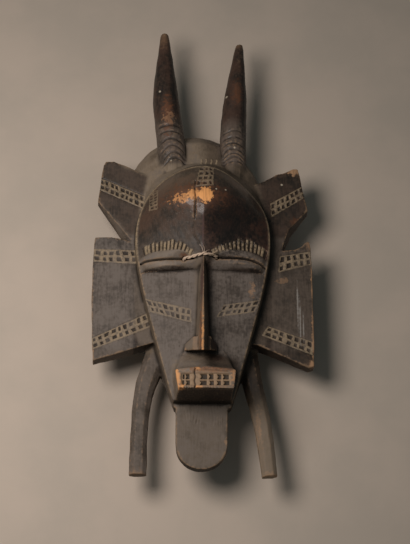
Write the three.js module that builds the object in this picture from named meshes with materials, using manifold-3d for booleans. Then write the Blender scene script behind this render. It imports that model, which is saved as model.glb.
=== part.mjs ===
// A carved wooden mask with two horns, lying on the flat rim of its hollow back.
// Millimetres. +X is to the right of someone facing the mask, +Y runs up the face to the horns,
// and +Z comes out of the face. The origin is on the resting plane, below the middle of the mask.
import * as THREE from 'three';
import { mergeVertices } from 'three/addons/utils/BufferGeometryUtils.js';
import { ConvexGeometry } from 'three/addons/geometries/ConvexGeometry.js';
import Module from 'manifold-3d';

const wasm = await Module();
wasm.setup();

// The raised rim round the face: an elliptic arch above, a jaw that runs straight to the chin.
// The arch hangs a little lower on the right.
const FACE = {
  halfWidth: 48.7, widestY: -5, archRise: 58.3, jawSlope: 0.29, jawBend: 36, chinY: -135, chinCorner: 7,
};
const HANG = { drop: 4.2, y: [0, 25] };
const RIM = { sideZ: 52, archZ: 54, chinZ: 49, archY: [10, 50], chinY: [-80, -130] };

// The middle line of the face, to which the rows of its surface run from the rim.
const MIDDLE = { top: 18, low: -112 };
const ROWS = {
  arch: 10,
  sides: [
    { from: 18, to: -8, count: 5 },
    { from: -8, to: -36, count: 14 },
    { from: -36, to: -112, count: 13 },
  ],
  chinCut: [1.6, 2.2], chinShares: [0.72, 0.36, 0],
};
const ACROSS = [0.97, 0.9, 0.8, 0.7, 0.6, 0.5, 0.4, 0.3, 0.2, 0.1, 0];
const BOW = { rise: 6, startY: [-26, -21], endY: [-8, 14] };

// Outside the rim: a broad bevel at the arch, a short side wall lower down, then the girth.
const BEVEL = {
  archWidth: 8.5, sideWidth: 1.4, chinShare: 0.5, archZ: 43.5, sideZ: 38, chinZ: 36, archY: [12, 46],
};
const CAP = { x: -6, y: 48, halfWidth: 50, rise: 48, z: 22, spread: 1.3, shoulder: 0.62, shoulderUp: 0.72 };
const GIRTH = {
  sideOut: 5.5, chinOut: -0.5, chinLift: 2, z: 20, chinZ: 25, shoulderUp: 0.5, chinY: [-70, -128],
};
const CAP_FROM_Y = [-8, 24];
const BACK = { inset: 1.5, foldY: -78, lowY: -102, middleLowY: -82 };

// The hollow that the wearer's face goes into.
const HOLLOW = {
  wall: 9, capWall: 11, roofFace: 43, roofForehead: 60, roofY: [-22, 8], squareness: 1.3, springs: 7,
};
const HOLLOW_CAP = { steepness: 3, y: [30, 80] };
const HOLLOW_MIDDLE = { lowY: -62, topY: 20 };

// The forehead, the brow ridges, the eyelids and the cheeks.
const FOREHEAD = { peakY: 12, peakZ: 83, browZ: 67.5, browY: -25, roundness: 0.62 };
const KEEL = { sharp: 1.25, round: 2.2, y: [0, 16] };
const BROW = {
  x: 26, y: -21.3, drop: 0.0125, lift: 3.6, width: 4, edge: 1.8, fadeX: [4, 20], rimBand: [0.86, 1],
};
const LID = { z: 62.4, x: 20, fall: 7, span: 26, cornerRise: 3.4, cornerX: [5, 15], rimBand: [0.88, 1] };
const LID_END = { y: -32.8, step: 1.2 };
// The crest of each lid, from which it slopes back to the cheek. It leans down outwards on the left.
const CREST = { x: 8, y: -29.2, lean: 0.23, drop: 0.0034 };
const SLIT = { inX: 5.8, outX: 46, width: 1.7, throughX: 39, depth: 3, z: [20, 90], steps: 8 };
const SLIT_LEFT = { y: -26.9, drop: 0.0005 };
const SLIT_RIGHT = { y: -25.8, drop: 0.0095 };
const CHEEK = { rise: 7 };

// The nose, a long wedge, and the corners of its right nostril wing. The left wing is broader.
const NOSE = {
  bridge: [0.3, -24, 68.6], tip: [-0.7, -106, 82], tipHalf: 0.9, rootY: -22, rootHalf: 4.2, lowHalf: 7,
  lowY: -92.5, baseZ: 50, leftShare: 1.36,
};
const NOSTRIL = [
  [9.8, -98, 61], [9.3, -92.6, 60.5], [5, -90, 68], [5, -101, 70], [9.8, -93.2, 50], [9.3, -89.5, 50],
  [5, -85, 50],
];

// The mouth, a block that stands out of the chin, with two lips and two rows of tooth marks.
const MOUTH = {
  frontZ: 79, topY: -119.6, bow: 2.4, lowY: -133.2, topLeft: -19.2, topRight: 22.2, lowLeft: -17,
  lowRight: 20.4,
};
const MUZZLE = {
  rootZ: 42.5, rootHalf: 21.5, rootLowHalf: 19.8, rootLowY: -130.9, steps: 4, topY: -94, topZ: 55,
  topShare: 0.6, sweep: 1.6, flare: 0.6,
};
const UNDERCUT = { halfWidth: 30, lowY: -150, topZ: 90 };
const LIP = { height: 2.6, recess: 0.7, beyond: 4 };
const TEETH = { count: 7, rows: 2, width: 3.4, height: 2.8, depth: 1.2 };

const CUT_PAST = 1;
const TOUCH = 1e-3;

// The tab under the chin.
const TAB = {
  x: -0.6, topHalf: 18.6, topY: -126, roundHalf: 18.1, roundY: -160.6, frontZ: 42.5, endZ: 41, thick: 8,
  arcSteps: 12,
};

// Wings beside the forehead and flaps beside the cheeks: outlines seen from the front. Where an edge
// is bevelled, the corner on the back follows the corner on the front.
const SLAB = { rootX: 42, edgeX: 80, rootZ: 41, edgeZ: 38, rootThick: 14, edgeThick: 9.5 };
const WING_LEFT = [
  [-73.2, 65.2], [-75, 61.8], [-78, 31, -78.6, 32], [-51.4, -3.2, -55.6, -3], [-42, -8], [-36, 51],
  [-41.3, 51.9], [-49.7, 57.1], [-59.9, 61.5], [-67.1, 64.8],
];
const WING_RIGHT = [
  [68.4, 60.4], [71.9, 60.6], [72.8, 57], [76.9, 34.4], [78.9, 25.5], [64.2, 9, 66, 7.4],
  [58, -9.4, 60, -7], [42, -12], [36, 44], [44.5, 48.4], [54.6, 54.5], [63, 57.4],
];
const FLAP_LEFT = [
  [-79.7, 1.8], [-66.9, 1.2], [-58.6, -0.8], [-54.9, -2.2], [-43, -4.5], [-31, -84], [-34.2, -83.4],
  [-78.8, -96.9], [-79.9, -75], [-80.8, -49.5], [-80.7, -20],
];
const FLAP_RIGHT = [
  [79, -0.2], [80.1, -7], [80.8, -24], [80.8, -84], [80, -99.6], [76.6, -101], [39.9, -84.8], [31, -84],
  [43, -10], [55.7, -9.2], [68.5, -7.2], [73.6, -4.8], [75.8, -1.2],
];

// Legs below the flaps: the line that each one follows, with its width there.
const LEG = { rootThick: 14, endThick: 8, rootZ: 28, endZ: 31, steps: 12 };
const LEG_LEFT = [
  [-31, -82, 17], [-35.5, -97, 16], [-40.5, -112, 14.4], [-43, -126, 13], [-44.3, -142, 12],
  [-44.9, -161, 12], [-45.1, -180.4, 12.6],
];
const LEG_RIGHT = [
  [31.5, -84, 16], [34, -99, 15], [37, -113.5, 13.8], [40.6, -130, 12.8], [43.7, -148, 12],
  [45.8, -165, 11.4], [47.3, -180.9, 10.8],
];
// Half a leg's section, from its back to its front, as shares of half the width and thickness.
const LEG_SECTION = [[0.5, -1], [1, -0.6], [1, 0.35], [0.48, 1]];

// Horns: where the middle line runs and the radius there, from the root to the tip. Their steps are
// closest where the rings are cut.
const HORN = { sides: 12, steps: 36, z: 36, ringSteps: [0.06, 0.72], ringSpan: [0.1, 0.45] };
const HORN_RINGS = { count: 6, fromY: 62.2, pitch: 5.7, depth: 0.9, fade: 3, frontShare: 0.3 };
const HORN_LEFT = [
  [-20.5, 46, 10.4], [-21.6, 62, 10.8], [-23.4, 78, 10.9], [-26.4, 103, 10.4], [-28.5, 124, 9.7],
  [-29.3, 152, 6.7], [-29.8, 180.9, 2.8],
];
const HORN_RIGHT = [
  [23.2, 46, 9.6], [23.4, 64, 9.9], [23.1, 85, 10], [24.1, 104, 9.6], [25.2, 121, 8.7], [27, 146, 5.9],
  [28.9, 171.8, 2.8],
];

// The cord over the bridge of the nose, a loop through the inner ends of the slits: each half runs
// from the bridge down its well and round behind to the knot.
const CORD = { radius: 1, sides: 8, steps: 64 };
const CORD_RIGHT = [
  [0.4, -26.2, 70.3], [4, -26, 68.9], [7.4, -25.9, 67.5], [9.4, -25.9, 64.9], [9.6, -25.9, 58],
  [9.6, -25.9, 50], [9.6, -25.9, 41], [8.6, -28.4, 34], [5.6, -32, 28], [1.2, -33, 26],
];
const CORD_LEFT = [
  [-4, -26.6, 68.6], [-9, -27, 65.7], [-12.4, -27, 64.1], [-13.7, -27, 61.2], [-13.8, -27, 55],
  [-13.8, -27, 48], [-13.8, -27, 41], [-12, -28.8, 34], [-7.5, -32, 28.5], [-1.2, -33, 26],
];
const WELL = { places: [[-13.8, -27], [9.6, -25.9]], radius: 2, z: [20, 90], sides: 10 };
const KNOT = { radius: 2.6, place: [0, -33, 26], round: 8, down: 6 };

const WOOD = new THREE.MeshStandardMaterial({ color: 0x3b2c24, roughness: 0.62, metalness: 0 });
const FIBRE = new THREE.MeshStandardMaterial({ color: 0xb9935f, roughness: 0.9, metalness: 0 });

const clamp = THREE.MathUtils.clamp;
const lerp = THREE.MathUtils.lerp;

// How far a value has come from one end of a band to the other, eased at both ends.
const eased = (value, [from, to]) => THREE.MathUtils.smoothstep((value - from) / (to - from), 0, 1);

// A closed geometry becomes a solid: shared corners are joined and collapsed triangles dropped.
function solid(geometry) {
  const bare = geometry.index ? geometry.toNonIndexed() : geometry.clone();
  bare.deleteAttribute('normal');
  bare.deleteAttribute('uv');
  const merged = mergeVertices(bare, 1e-3);
  const corners = merged.index.array;
  const triangles = [];
  for (let i = 0; i < corners.length; i += 3) {
    const [a, b, c] = [corners[i], corners[i + 1], corners[i + 2]];
    if (a !== b && b !== c && c !== a) {
      triangles.push(a, b, c);
    }
  }
  return new wasm.Manifold(new wasm.Mesh({
    numProp: 3,
    vertProperties: new Float32Array(merged.attributes.position.array),
    triVerts: new Uint32Array(triangles),
  }));
}

function asMesh(name, body, material) {
  const { vertProperties, triVerts } = body.getMesh();
  const geometry = new THREE.BufferGeometry();
  geometry.setAttribute('position', new THREE.BufferAttribute(new Float32Array(vertProperties), 3));
  geometry.setIndex(new THREE.BufferAttribute(new Uint32Array(triVerts), 1));
  geometry.computeVertexNormals();
  const mesh = new THREE.Mesh(geometry, material);
  mesh.name = name;
  return mesh;
}

// Half the width of the face between its rims, at a height on the face.
function faceHalfWidth(y) {
  const above = y - FACE.widestY;
  if (above >= 0) {
    return FACE.halfWidth * Math.sqrt(Math.max(0, 1 - (above / FACE.archRise) ** 2));
  }
  return FACE.halfWidth - FACE.jawSlope * (Math.hypot(above, FACE.jawBend) - FACE.jawBend);
}

function rimHeight(y) {
  const arch = (RIM.archZ - RIM.sideZ) * eased(y, RIM.archY);
  const chin = (RIM.sideZ - RIM.chinZ) * eased(y, RIM.chinY);
  return RIM.sideZ + arch - chin;
}

// The forehead along the middle line: round above, hollowed down to the bridge of the nose.
function middleForehead(y) {
  if (y >= FOREHEAD.peakY) {
    const top = FACE.widestY + FACE.archRise;
    const up = clamp((y - FOREHEAD.peakY) / (top - FOREHEAD.peakY), 0, 1);
    return lerp(RIM.archZ, FOREHEAD.peakZ, (1 - up * up) ** FOREHEAD.roundness);
  }
  const down = clamp((FOREHEAD.peakY - y) / (FOREHEAD.peakY - FOREHEAD.browY), 0, 1);
  return lerp(FOREHEAD.peakZ, FOREHEAD.browZ, (1 - Math.cos(Math.PI * down)) / 2);
}

const browLine = (x) => BROW.y - BROW.drop * (Math.abs(x) - BROW.x) ** 2;

function slitLine(x) {
  const { y, drop } = x < 0 ? SLIT_LEFT : SLIT_RIGHT;
  return y - drop * Math.max(0, Math.abs(x) - BROW.x) ** 2;
}

// How far the arch hangs on the right of the middle.
function hang([x, y, z]) {
  const out = clamp(x / FACE.halfWidth, 0, 1) ** 2;
  return [x, y - 4 * HANG.drop * out * (1 - out) * eased(y, HANG.y), z];
}

// How high the carved face stands at a place inside its rim, without the nose and the mouth.
function faceHeight(x, y) {
  const out = Math.abs(x);
  const rim = rimHeight(y);
  const across = Math.min(1, out / Math.max(faceHalfWidth(y), Number.EPSILON));
  const power = lerp(KEEL.sharp, KEEL.round, eased(y, KEEL.y));
  const ridge = BROW.lift * eased(out, BROW.fadeX) * (1 - eased(across, BROW.rimBand));
  const nearBrow = Math.exp(-(((y - browLine(x)) / BROW.width) ** 2));
  const forehead = lerp(middleForehead(y), rim, across ** power) + ridge * nearBrow;
  const lidFall = LID.fall * ((out - LID.x) / LID.span) ** 2;
  const corner = LID.cornerRise * (1 - eased(out, LID.cornerX));
  const lid = lerp(LID.z - lidFall + corner, rim, eased(across, LID.rimBand));
  const cheek = rim + CHEEK.rise * (1 - across);
  const aboveEye = eased(y, [browLine(x) - BROW.edge, browLine(x)]);
  const crestFall = Math.max(0, out - CREST.x) * (x < 0 ? CREST.lean : CREST.drop * (out - CREST.x));
  const crest = Math.max(LID_END.y, CREST.y - crestFall);
  const foot = LID_END.y - LID_END.step;
  const belowEye = 1 - clamp((y - foot) / (crest - foot), 0, 1);
  return lerp(lerp(lid, forehead, aboveEye), cheek, belowEye);
}

// Stations down the right half of the rim, from the middle of the arch to the middle of the chin.
// Each has its place on the rim and the place on the middle line that its row runs to.
function rimStations() {
  const stations = [];
  const archEnd = Math.acos((MIDDLE.top - FACE.widestY) / FACE.archRise);
  for (let i = 0; i < ROWS.arch; i += 1) {
    const angle = (archEnd * i) / ROWS.arch;
    const y = FACE.widestY + FACE.archRise * Math.cos(angle);
    stations.push({ x: FACE.halfWidth * Math.sin(angle), y, middleY: MIDDLE.top });
  }
  for (const { from, to, count } of ROWS.sides) {
    for (let i = 0; i < count; i += 1) {
      const y = lerp(from, to, i / count);
      stations.push({ x: faceHalfWidth(y), y, middleY: y });
    }
  }
  const cornerY = FACE.chinY + FACE.chinCorner;
  for (const y of [MIDDLE.low, (MIDDLE.low + cornerY) / 2, cornerY]) {
    stations.push({ x: faceHalfWidth(y), y, middleY: MIDDLE.low });
  }
  const cornerX = faceHalfWidth(cornerY);
  const [cutIn, cutUp] = ROWS.chinCut;
  stations.push({ x: cornerX - cutIn, y: FACE.chinY + cutUp, middleY: MIDDLE.low });
  for (const share of ROWS.chinShares) {
    stations.push({ x: cornerX * share, y: FACE.chinY, middleY: MIDDLE.low });
  }
  return stations;
}

// The line that the body follows at one station on one side, from its back up to the rim's foot.
function outerLine(station, side) {
  const { x, y } = station;
  const arch = eased(y, BEVEL.archY);
  const chin = eased(y, GIRTH.chinY);
  const toCap = eased(y, CAP_FROM_Y);
  const angle = Math.atan2(x / FACE.halfWidth, (y - FACE.widestY) / FACE.archRise);
  const bevel = lerp(BEVEL.sideWidth, BEVEL.archWidth, arch) * lerp(1, BEVEL.chinShare, chin);
  const footX = side * (x + bevel * Math.sin(angle));
  const footY = y + bevel * Math.cos(angle);
  const footZ = lerp(lerp(BEVEL.sideZ, BEVEL.archZ, arch), BEVEL.chinZ, chin);
  const out = x > 0 ? lerp(GIRTH.sideOut, GIRTH.chinOut, chin) : 0;
  const capAngle = Math.min(angle * CAP.spread, Math.PI / 2);
  const girthX = lerp(side * (x + out), CAP.x + side * CAP.halfWidth * Math.sin(capAngle), toCap);
  const girthY = lerp(y + GIRTH.chinLift * chin, CAP.y + CAP.rise * Math.cos(capAngle), toCap);
  const girthZ = lerp(lerp(GIRTH.z, GIRTH.chinZ, chin), CAP.z, toCap);
  const shoulderUp = lerp(GIRTH.shoulderUp, CAP.shoulderUp, toCap);
  const foldShare = (BACK.lowY - BACK.foldY) / (FACE.chinY - BACK.foldY);
  const foldedY = BACK.foldY + (y - BACK.foldY) * foldShare;
  const backY = y < BACK.foldY ? foldedY : girthY - BACK.inset * arch;
  return [
    [girthX - side * BACK.inset * arch, backY, 0],
    [girthX, girthY, girthZ],
    [lerp(footX, girthX, CAP.shoulder), lerp(footY, girthY, CAP.shoulder), lerp(girthZ, footZ, shoulderUp)],
    [footX, footY, footZ],
  ];
}

// A turned blank whose rings are pulled out to the lines, station by station.
function pulledBlank(stations, lineAt) {
  const columnCount = lineAt(stations[0], 1).length;
  const last = columnCount - 1;
  const profile = [];
  for (let j = 0; j < columnCount; j += 1) {
    const turn = (Math.PI * j) / last;
    profile.push(new THREE.Vector2(j % last === 0 ? 0 : Math.sin(turn), -Math.cos(turn)));
  }
  const round = 2 * (stations.length - 1);
  const blank = new THREE.LatheGeometry(profile, round);
  for (let i = 0; i <= round; i += 1) {
    const turn = i % round;
    const side = turn < stations.length ? -1 : 1;
    const line = lineAt(stations[side < 0 ? turn : round - turn], side);
    line.forEach((point, j) => blank.attributes.position.setXYZ(i * columnCount + j, ...point));
  }
  return solid(blank);
}

// A place on the face, as a share of the way from the middle line to the rim. Rows bow up at the brows.
function facePoint(station, side, share) {
  const bow = BOW.rise * eased(station.y, BOW.startY) * (1 - eased(station.y, BOW.endY));
  const x = side * station.x * share;
  const y = lerp(station.middleY, station.y, share) + bow * Math.sin(Math.PI * share) ** 2;
  return [x, y, faceHeight(x, share === 0 ? station.middleY : y)];
}

function bodyBlock(stations) {
  return pulledBlank(stations, (station, side) => [
    [0, clamp(station.middleY, BACK.middleLowY, MIDDLE.top), 0],
    ...outerLine(station, side),
    [side * station.x, station.y, rimHeight(station.y)],
    ...ACROSS.map((share) => facePoint(station, side, share)),
  ].map(hang));
}

// The hollow: a vault that springs from the inner edge of the back rim, steeper under the cap.
function hollowBlock(stations) {
  return pulledBlank(stations, (station, side) => {
    const [backX, backY] = outerLine(station, side)[0];
    const middleY = clamp(backY, HOLLOW_MIDDLE.lowY, HOLLOW_MIDDLE.topY);
    const cap = eased(backY, HOLLOW_CAP.y);
    const wall = lerp(HOLLOW.wall, HOLLOW.capWall, cap);
    const keep = Math.max(0, 1 - wall / Math.hypot(backX, backY - middleY));
    const [edgeX, edgeY] = [backX * keep, middleY + (backY - middleY) * keep];
    const roof = lerp(HOLLOW.roofFace, HOLLOW.roofForehead, eased(middleY, HOLLOW.roofY));
    const line = [[0, middleY, -CUT_PAST], [edgeX, edgeY, -CUT_PAST]];
    for (let i = 0; i <= HOLLOW.springs; i += 1) {
      const turn = (Math.PI / 2) * (i / HOLLOW.springs);
      const inward = (1 - Math.cos(turn)) ** HOLLOW.squareness;
      const rise = Math.sin(turn) ** lerp(1, HOLLOW_CAP.steepness, cap);
      line.push([edgeX * (1 - inward), lerp(edgeY, middleY, inward), roof * rise]);
    }
    return line.map(hang);
  });
}

// A flat slab whose front and back lean a little from its root to its outer edge.
function slab(outline) {
  const shape = new THREE.Shape(outline.map(([x, y]) => new THREE.Vector2(x, y)));
  const geometry = new THREE.ExtrudeGeometry(shape, { depth: 1, bevelEnabled: false });
  const position = geometry.attributes.position;
  for (let i = 0; i < position.count; i += 1) {
    const [x, y] = [position.getX(i), position.getY(i)];
    const corner = outline.find(([atX, atY]) => Math.hypot(atX - x, atY - y) < TOUCH);
    const [, , backX = x, backY = y] = corner;
    const outward = clamp((Math.abs(x) - SLAB.rootX) / (SLAB.edgeX - SLAB.rootX), 0, 1);
    const front = lerp(SLAB.rootZ, SLAB.edgeZ, outward);
    const thick = lerp(SLAB.rootThick, SLAB.edgeThick, outward);
    const place = position.getZ(i) > 0.5 ? [x, y, front] : [backX, backY, front - thick];
    position.setXYZ(i, ...place);
  }
  return solid(geometry);
}

// How far along a horn a share of its steps has come.
function hornShare(share) {
  const { ringSteps: [fromStep, toStep], ringSpan: [from, to] } = HORN;
  if (share < fromStep) {
    return lerp(0, from, share / fromStep);
  }
  if (share < toStep) {
    return lerp(from, to, (share - fromStep) / (toStep - fromStep));
  }
  return lerp(to, 1, (share - toStep) / (1 - toStep));
}

// A rod that follows a line in the XY plane, made from a cylinder whose rings are set across it.
function rod(line, sides, steps, z, ring, shareAt = (share) => share) {
  const path = new THREE.CatmullRomCurve3(line.map(([x, y]) => new THREE.Vector3(x, y, z)));
  const size = new THREE.CatmullRomCurve3(line.map(([, y, width]) => new THREE.Vector3(width, y, 0)));
  const geometry = new THREE.CylinderGeometry(1, 1, 1, sides, steps);
  const position = geometry.attributes.position;
  for (let i = 0; i < position.count; i += 1) {
    const along = shareAt(clamp(position.getY(i) + 0.5, 0, 1));
    const onAxis = Math.hypot(position.getX(i), position.getZ(i)) < 0.5;
    const angle = Math.atan2(position.getX(i), position.getZ(i));
    const centre = path.getPoint(along);
    const tangent = path.getTangent(along);
    const [across, up] = ring(angle, onAxis ? 0 : size.getPoint(along).x, centre.y, along);
    position.setXYZ(i, centre.x + across * tangent.y, centre.y - across * tangent.x, centre.z + up);
  }
  return solid(geometry);
}

// Horns are round, with ring grooves cut across the front of their lower third.
function horn(line) {
  const { count, fromY, pitch, depth, fade, frontShare } = HORN_RINGS;
  const toY = fromY + count * pitch;
  return rod(line, HORN.sides, HORN.steps, HORN.z, (angle, radius, y) => {
    const within = eased(y, [fromY - fade, fromY]) * (1 - eased(y, [toY, toY + fade]));
    const wave = (1 - Math.cos((2 * Math.PI * (y - fromY)) / pitch)) / 2;
    const front = clamp(Math.cos(angle) + frontShare, 0, 1);
    const r = radius - depth * within * wave * front;
    return [r * Math.sin(angle), r * Math.cos(angle)];
  }, hornShare);
}

// Legs are cut with three flat facets in front, and get thinner towards their ends.
function leg(line) {
  const sides = 2 * LEG_SECTION.length;
  return rod(line, sides, LEG.steps, 0, (angle, width, y, along) => {
    const turn = Math.round((angle / (2 * Math.PI)) * sides - 0.5 + sides) % sides;
    const right = turn < LEG_SECTION.length;
    const corner = LEG_SECTION[right ? LEG_SECTION.length - 1 - turn : turn - LEG_SECTION.length];
    const thick = lerp(LEG.rootThick, LEG.endThick, along);
    const middle = lerp(LEG.rootZ, LEG.endZ, along);
    return [((right ? 1 : -1) * corner[0] * width) / 2, middle + (corner[1] * thick) / 2];
  });
}

function chinTab() {
  const shape = new THREE.Shape();
  shape.moveTo(TAB.x - TAB.topHalf, TAB.topY);
  shape.lineTo(TAB.x - TAB.roundHalf, TAB.roundY);
  shape.absarc(TAB.x, TAB.roundY, TAB.roundHalf, Math.PI, 2 * Math.PI, false);
  shape.lineTo(TAB.x + TAB.topHalf, TAB.topY);
  const options = { depth: 1, bevelEnabled: false, curveSegments: TAB.arcSteps };
  const geometry = new THREE.ExtrudeGeometry(shape, options);
  const position = geometry.attributes.position;
  const endY = TAB.roundY - TAB.roundHalf;
  for (let i = 0; i < position.count; i += 1) {
    const down = (TAB.topY - position.getY(i)) / (TAB.topY - endY);
    const front = lerp(TAB.frontZ, TAB.endZ, down);
    position.setZ(i, position.getZ(i) > 0.5 ? front : front - TAB.thick);
  }
  return solid(geometry);
}

function hull(points) {
  return solid(new ConvexGeometry(points.map(([x, y, z]) => new THREE.Vector3(x, y, z))));
}

function nose() {
  const [tipX, tipY, tipZ] = NOSE.tip;
  const wedge = hull([
    NOSE.bridge,
    [tipX - NOSE.tipHalf, tipY, tipZ],
    [tipX + NOSE.tipHalf, tipY, tipZ],
    [-NOSE.rootHalf, NOSE.rootY, NOSE.baseZ],
    [NOSE.rootHalf, NOSE.rootY, NOSE.baseZ],
    [-NOSE.lowHalf, NOSE.lowY, NOSE.baseZ],
    [NOSE.lowHalf, NOSE.lowY, NOSE.baseZ],
  ]);
  const mirrored = NOSTRIL.map(([x, y, z]) => [-x * NOSE.leftShare, y, z]);
  return wedge.add(hull([...NOSTRIL, ...mirrored]));
}

// A box between two corners, moved into place.
function block(from, to) {
  const size = to.map((value, i) => value - from[i]);
  const geometry = new THREE.BoxGeometry(...size);
  geometry.translate(...from.map((value, i) => value + size[i] / 2));
  return solid(geometry);
}

// The muzzle sweeps forward from the cheeks to the lips: slices that each stand further out.
function muzzle() {
  const { rootZ, rootHalf, rootLowHalf, rootLowY, steps, topY, topZ, topShare, sweep, flare } = MUZZLE;
  const { frontZ, bow, lowY, topLeft, topRight, lowLeft, lowRight } = MOUTH;
  const upperEdge = (t) => {
    const y = lerp(topY, MOUTH.topY, t);
    const z = lerp(topZ, frontZ, t ** sweep);
    const share = lerp(topShare, 1, t ** flare);
    const middle = [((topLeft + topRight) / 2) * share, y + bow * t, z];
    return [[topLeft * share, y, z], middle, [topRight * share, y, z]];
  };
  const slices = Array.from({ length: steps }, (_, i) => {
    const [upper, lower] = [upperEdge(i / steps), upperEdge((i + 1) / steps)];
    const [[, y], [[, , z]]] = [upper[0], lower];
    return hull([
      ...upper,
      ...lower,
      [-rootHalf, y, rootZ],
      [rootHalf, y, rootZ],
      [-rootLowHalf, rootLowY, rootZ],
      [rootLowHalf, rootLowY, rootZ],
      [lowLeft, lowY, z],
      [lowRight, lowY, z],
    ]);
  });
  return slices.reduce((bulk, slice) => bulk.add(slice));
}

// The chin is cut back under the muzzle, down to the front of the tab.
function undercut() {
  const { halfWidth, lowY, topZ } = UNDERCUT;
  return hull([-halfWidth, halfWidth].flatMap((x) => [
    [x, MUZZLE.rootLowY, TAB.frontZ],
    [x, MOUTH.lowY, MOUTH.frontZ],
    [x, MOUTH.lowY, topZ],
    [x, lowY, topZ],
    [x, lowY, TAB.frontZ],
  ]));
}

function mouth() {
  const { frontZ, topY, lowY, lowLeft, lowRight, topRight } = MOUTH;
  const teethTop = topY - LIP.height;
  const teethLow = lowY + LIP.height;
  const behind = frontZ - LIP.recess;
  const proud = frontZ + CUT_PAST;
  const band = block([lowLeft - LIP.beyond, teethLow, behind], [topRight + LIP.beyond, teethTop, proud]);
  let carved = muzzle().subtract(band);
  const pitch = (lowRight - lowLeft) / TEETH.count;
  const rowPitch = (teethTop - teethLow) / TEETH.rows;
  const [halfX, halfY] = [TEETH.width / 2, TEETH.height / 2];
  for (let i = 0; i < TEETH.count; i += 1) {
    for (let row = 0; row < TEETH.rows; row += 1) {
      const x = lowLeft + (i + 0.5) * pitch;
      const y = teethLow + (row + 0.5) * rowPitch;
      const low = [x - halfX, y - halfY, behind - TEETH.depth];
      carved = carved.subtract(block(low, [x + halfX, y + halfY, proud]));
    }
  }
  return carved;
}

// A part of the eye slit on one side, cut straight down between two heights.
function slitCut(side, [fromX, toX], [fromZ, toZ]) {
  const upper = [];
  const lower = [];
  for (let i = 0; i <= SLIT.steps; i += 1) {
    const x = lerp(fromX, toX, i / SLIT.steps);
    upper.push(new THREE.Vector2(side * x, slitLine(side * x) + SLIT.width / 2));
    lower.unshift(new THREE.Vector2(side * x, slitLine(side * x) - SLIT.width / 2));
  }
  const shape = new THREE.Shape([...upper, ...lower]);
  const geometry = new THREE.ExtrudeGeometry(shape, { depth: toZ - fromZ, bevelEnabled: false });
  geometry.translate(0, 0, fromZ);
  return solid(geometry);
}

// The eye slit goes right through inside, and is only a groove at its outer end.
function eyeSlit(side) {
  const [lowZ, highZ] = SLIT.z;
  const outX = side * SLIT.outX;
  const grooveZ = faceHeight(outX, slitLine(outX)) - SLIT.depth;
  const through = slitCut(side, [SLIT.inX, SLIT.throughX], [lowZ, highZ]);
  return through.add(slitCut(side, [SLIT.throughX - CUT_PAST, SLIT.outX], [grooveZ, highZ]));
}

// A round hole through each slit, worn wider by the cord.
function cordWell([x, y]) {
  const [lowZ, highZ] = WELL.z;
  const geometry = new THREE.CylinderGeometry(WELL.radius, WELL.radius, highZ - lowZ, WELL.sides);
  geometry.rotateX(Math.PI / 2);
  geometry.translate(x, y, (lowZ + highZ) / 2);
  return solid(geometry);
}

function cord() {
  const places = [...CORD_LEFT.toReversed(), ...CORD_RIGHT].map((place) => new THREE.Vector3(...place));
  const path = new THREE.CatmullRomCurve3(places);
  const section = new THREE.Shape();
  section.absarc(0, 0, CORD.radius, 0, 2 * Math.PI, false);
  const curveSegments = CORD.sides / 2;
  const options = { steps: CORD.steps, extrudePath: path, bevelEnabled: false, curveSegments };
  const strand = solid(new THREE.ExtrudeGeometry(section, options));
  const knot = new THREE.SphereGeometry(KNOT.radius, KNOT.round, KNOT.down);
  knot.translate(...KNOT.place);
  return strand.add(solid(knot));
}

const stations = rimStations();
let carving = bodyBlock(stations)
  .add(slab(WING_LEFT))
  .add(slab(WING_RIGHT))
  .add(slab(FLAP_LEFT))
  .add(slab(FLAP_RIGHT))
  .add(leg(LEG_LEFT))
  .add(leg(LEG_RIGHT))
  .add(horn(HORN_LEFT))
  .add(horn(HORN_RIGHT))
  .add(chinTab())
  .add(nose())
  .add(mouth())
  .subtract(undercut())
  .subtract(hollowBlock(stations));
for (const side of [-1, 1]) {
  carving = carving.subtract(eyeSlit(side));
}
for (const place of WELL.places) {
  carving = carving.subtract(cordWell(place));
}

const maskGroup = new THREE.Group();
maskGroup.add(asMesh('mask', carving, WOOD));
maskGroup.add(asMesh('bridge_cord', cord(), FIBRE));

export default maskGroup;
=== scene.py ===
# %% [markdown]
# # A carved wooden mask with two horns
#
# The real mask is one block of hardwood. A carver roughs it out with an adze, cleans it with a
# knife, stains it dark, and years of handling polish it and wear its edges bare. A cord is tied
# over the bridge of the nose. This lesson dresses the finished solid in the same order: the
# block is copied and softened, the chip carving is cut into it, its wear is measured, and then
# it gets its patina. The solid itself is the fixed frame, and it is never moved or changed.

# %% Load the fixed frame
import math

import bpy
import numpy as np
from mathutils import Matrix, Vector


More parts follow.
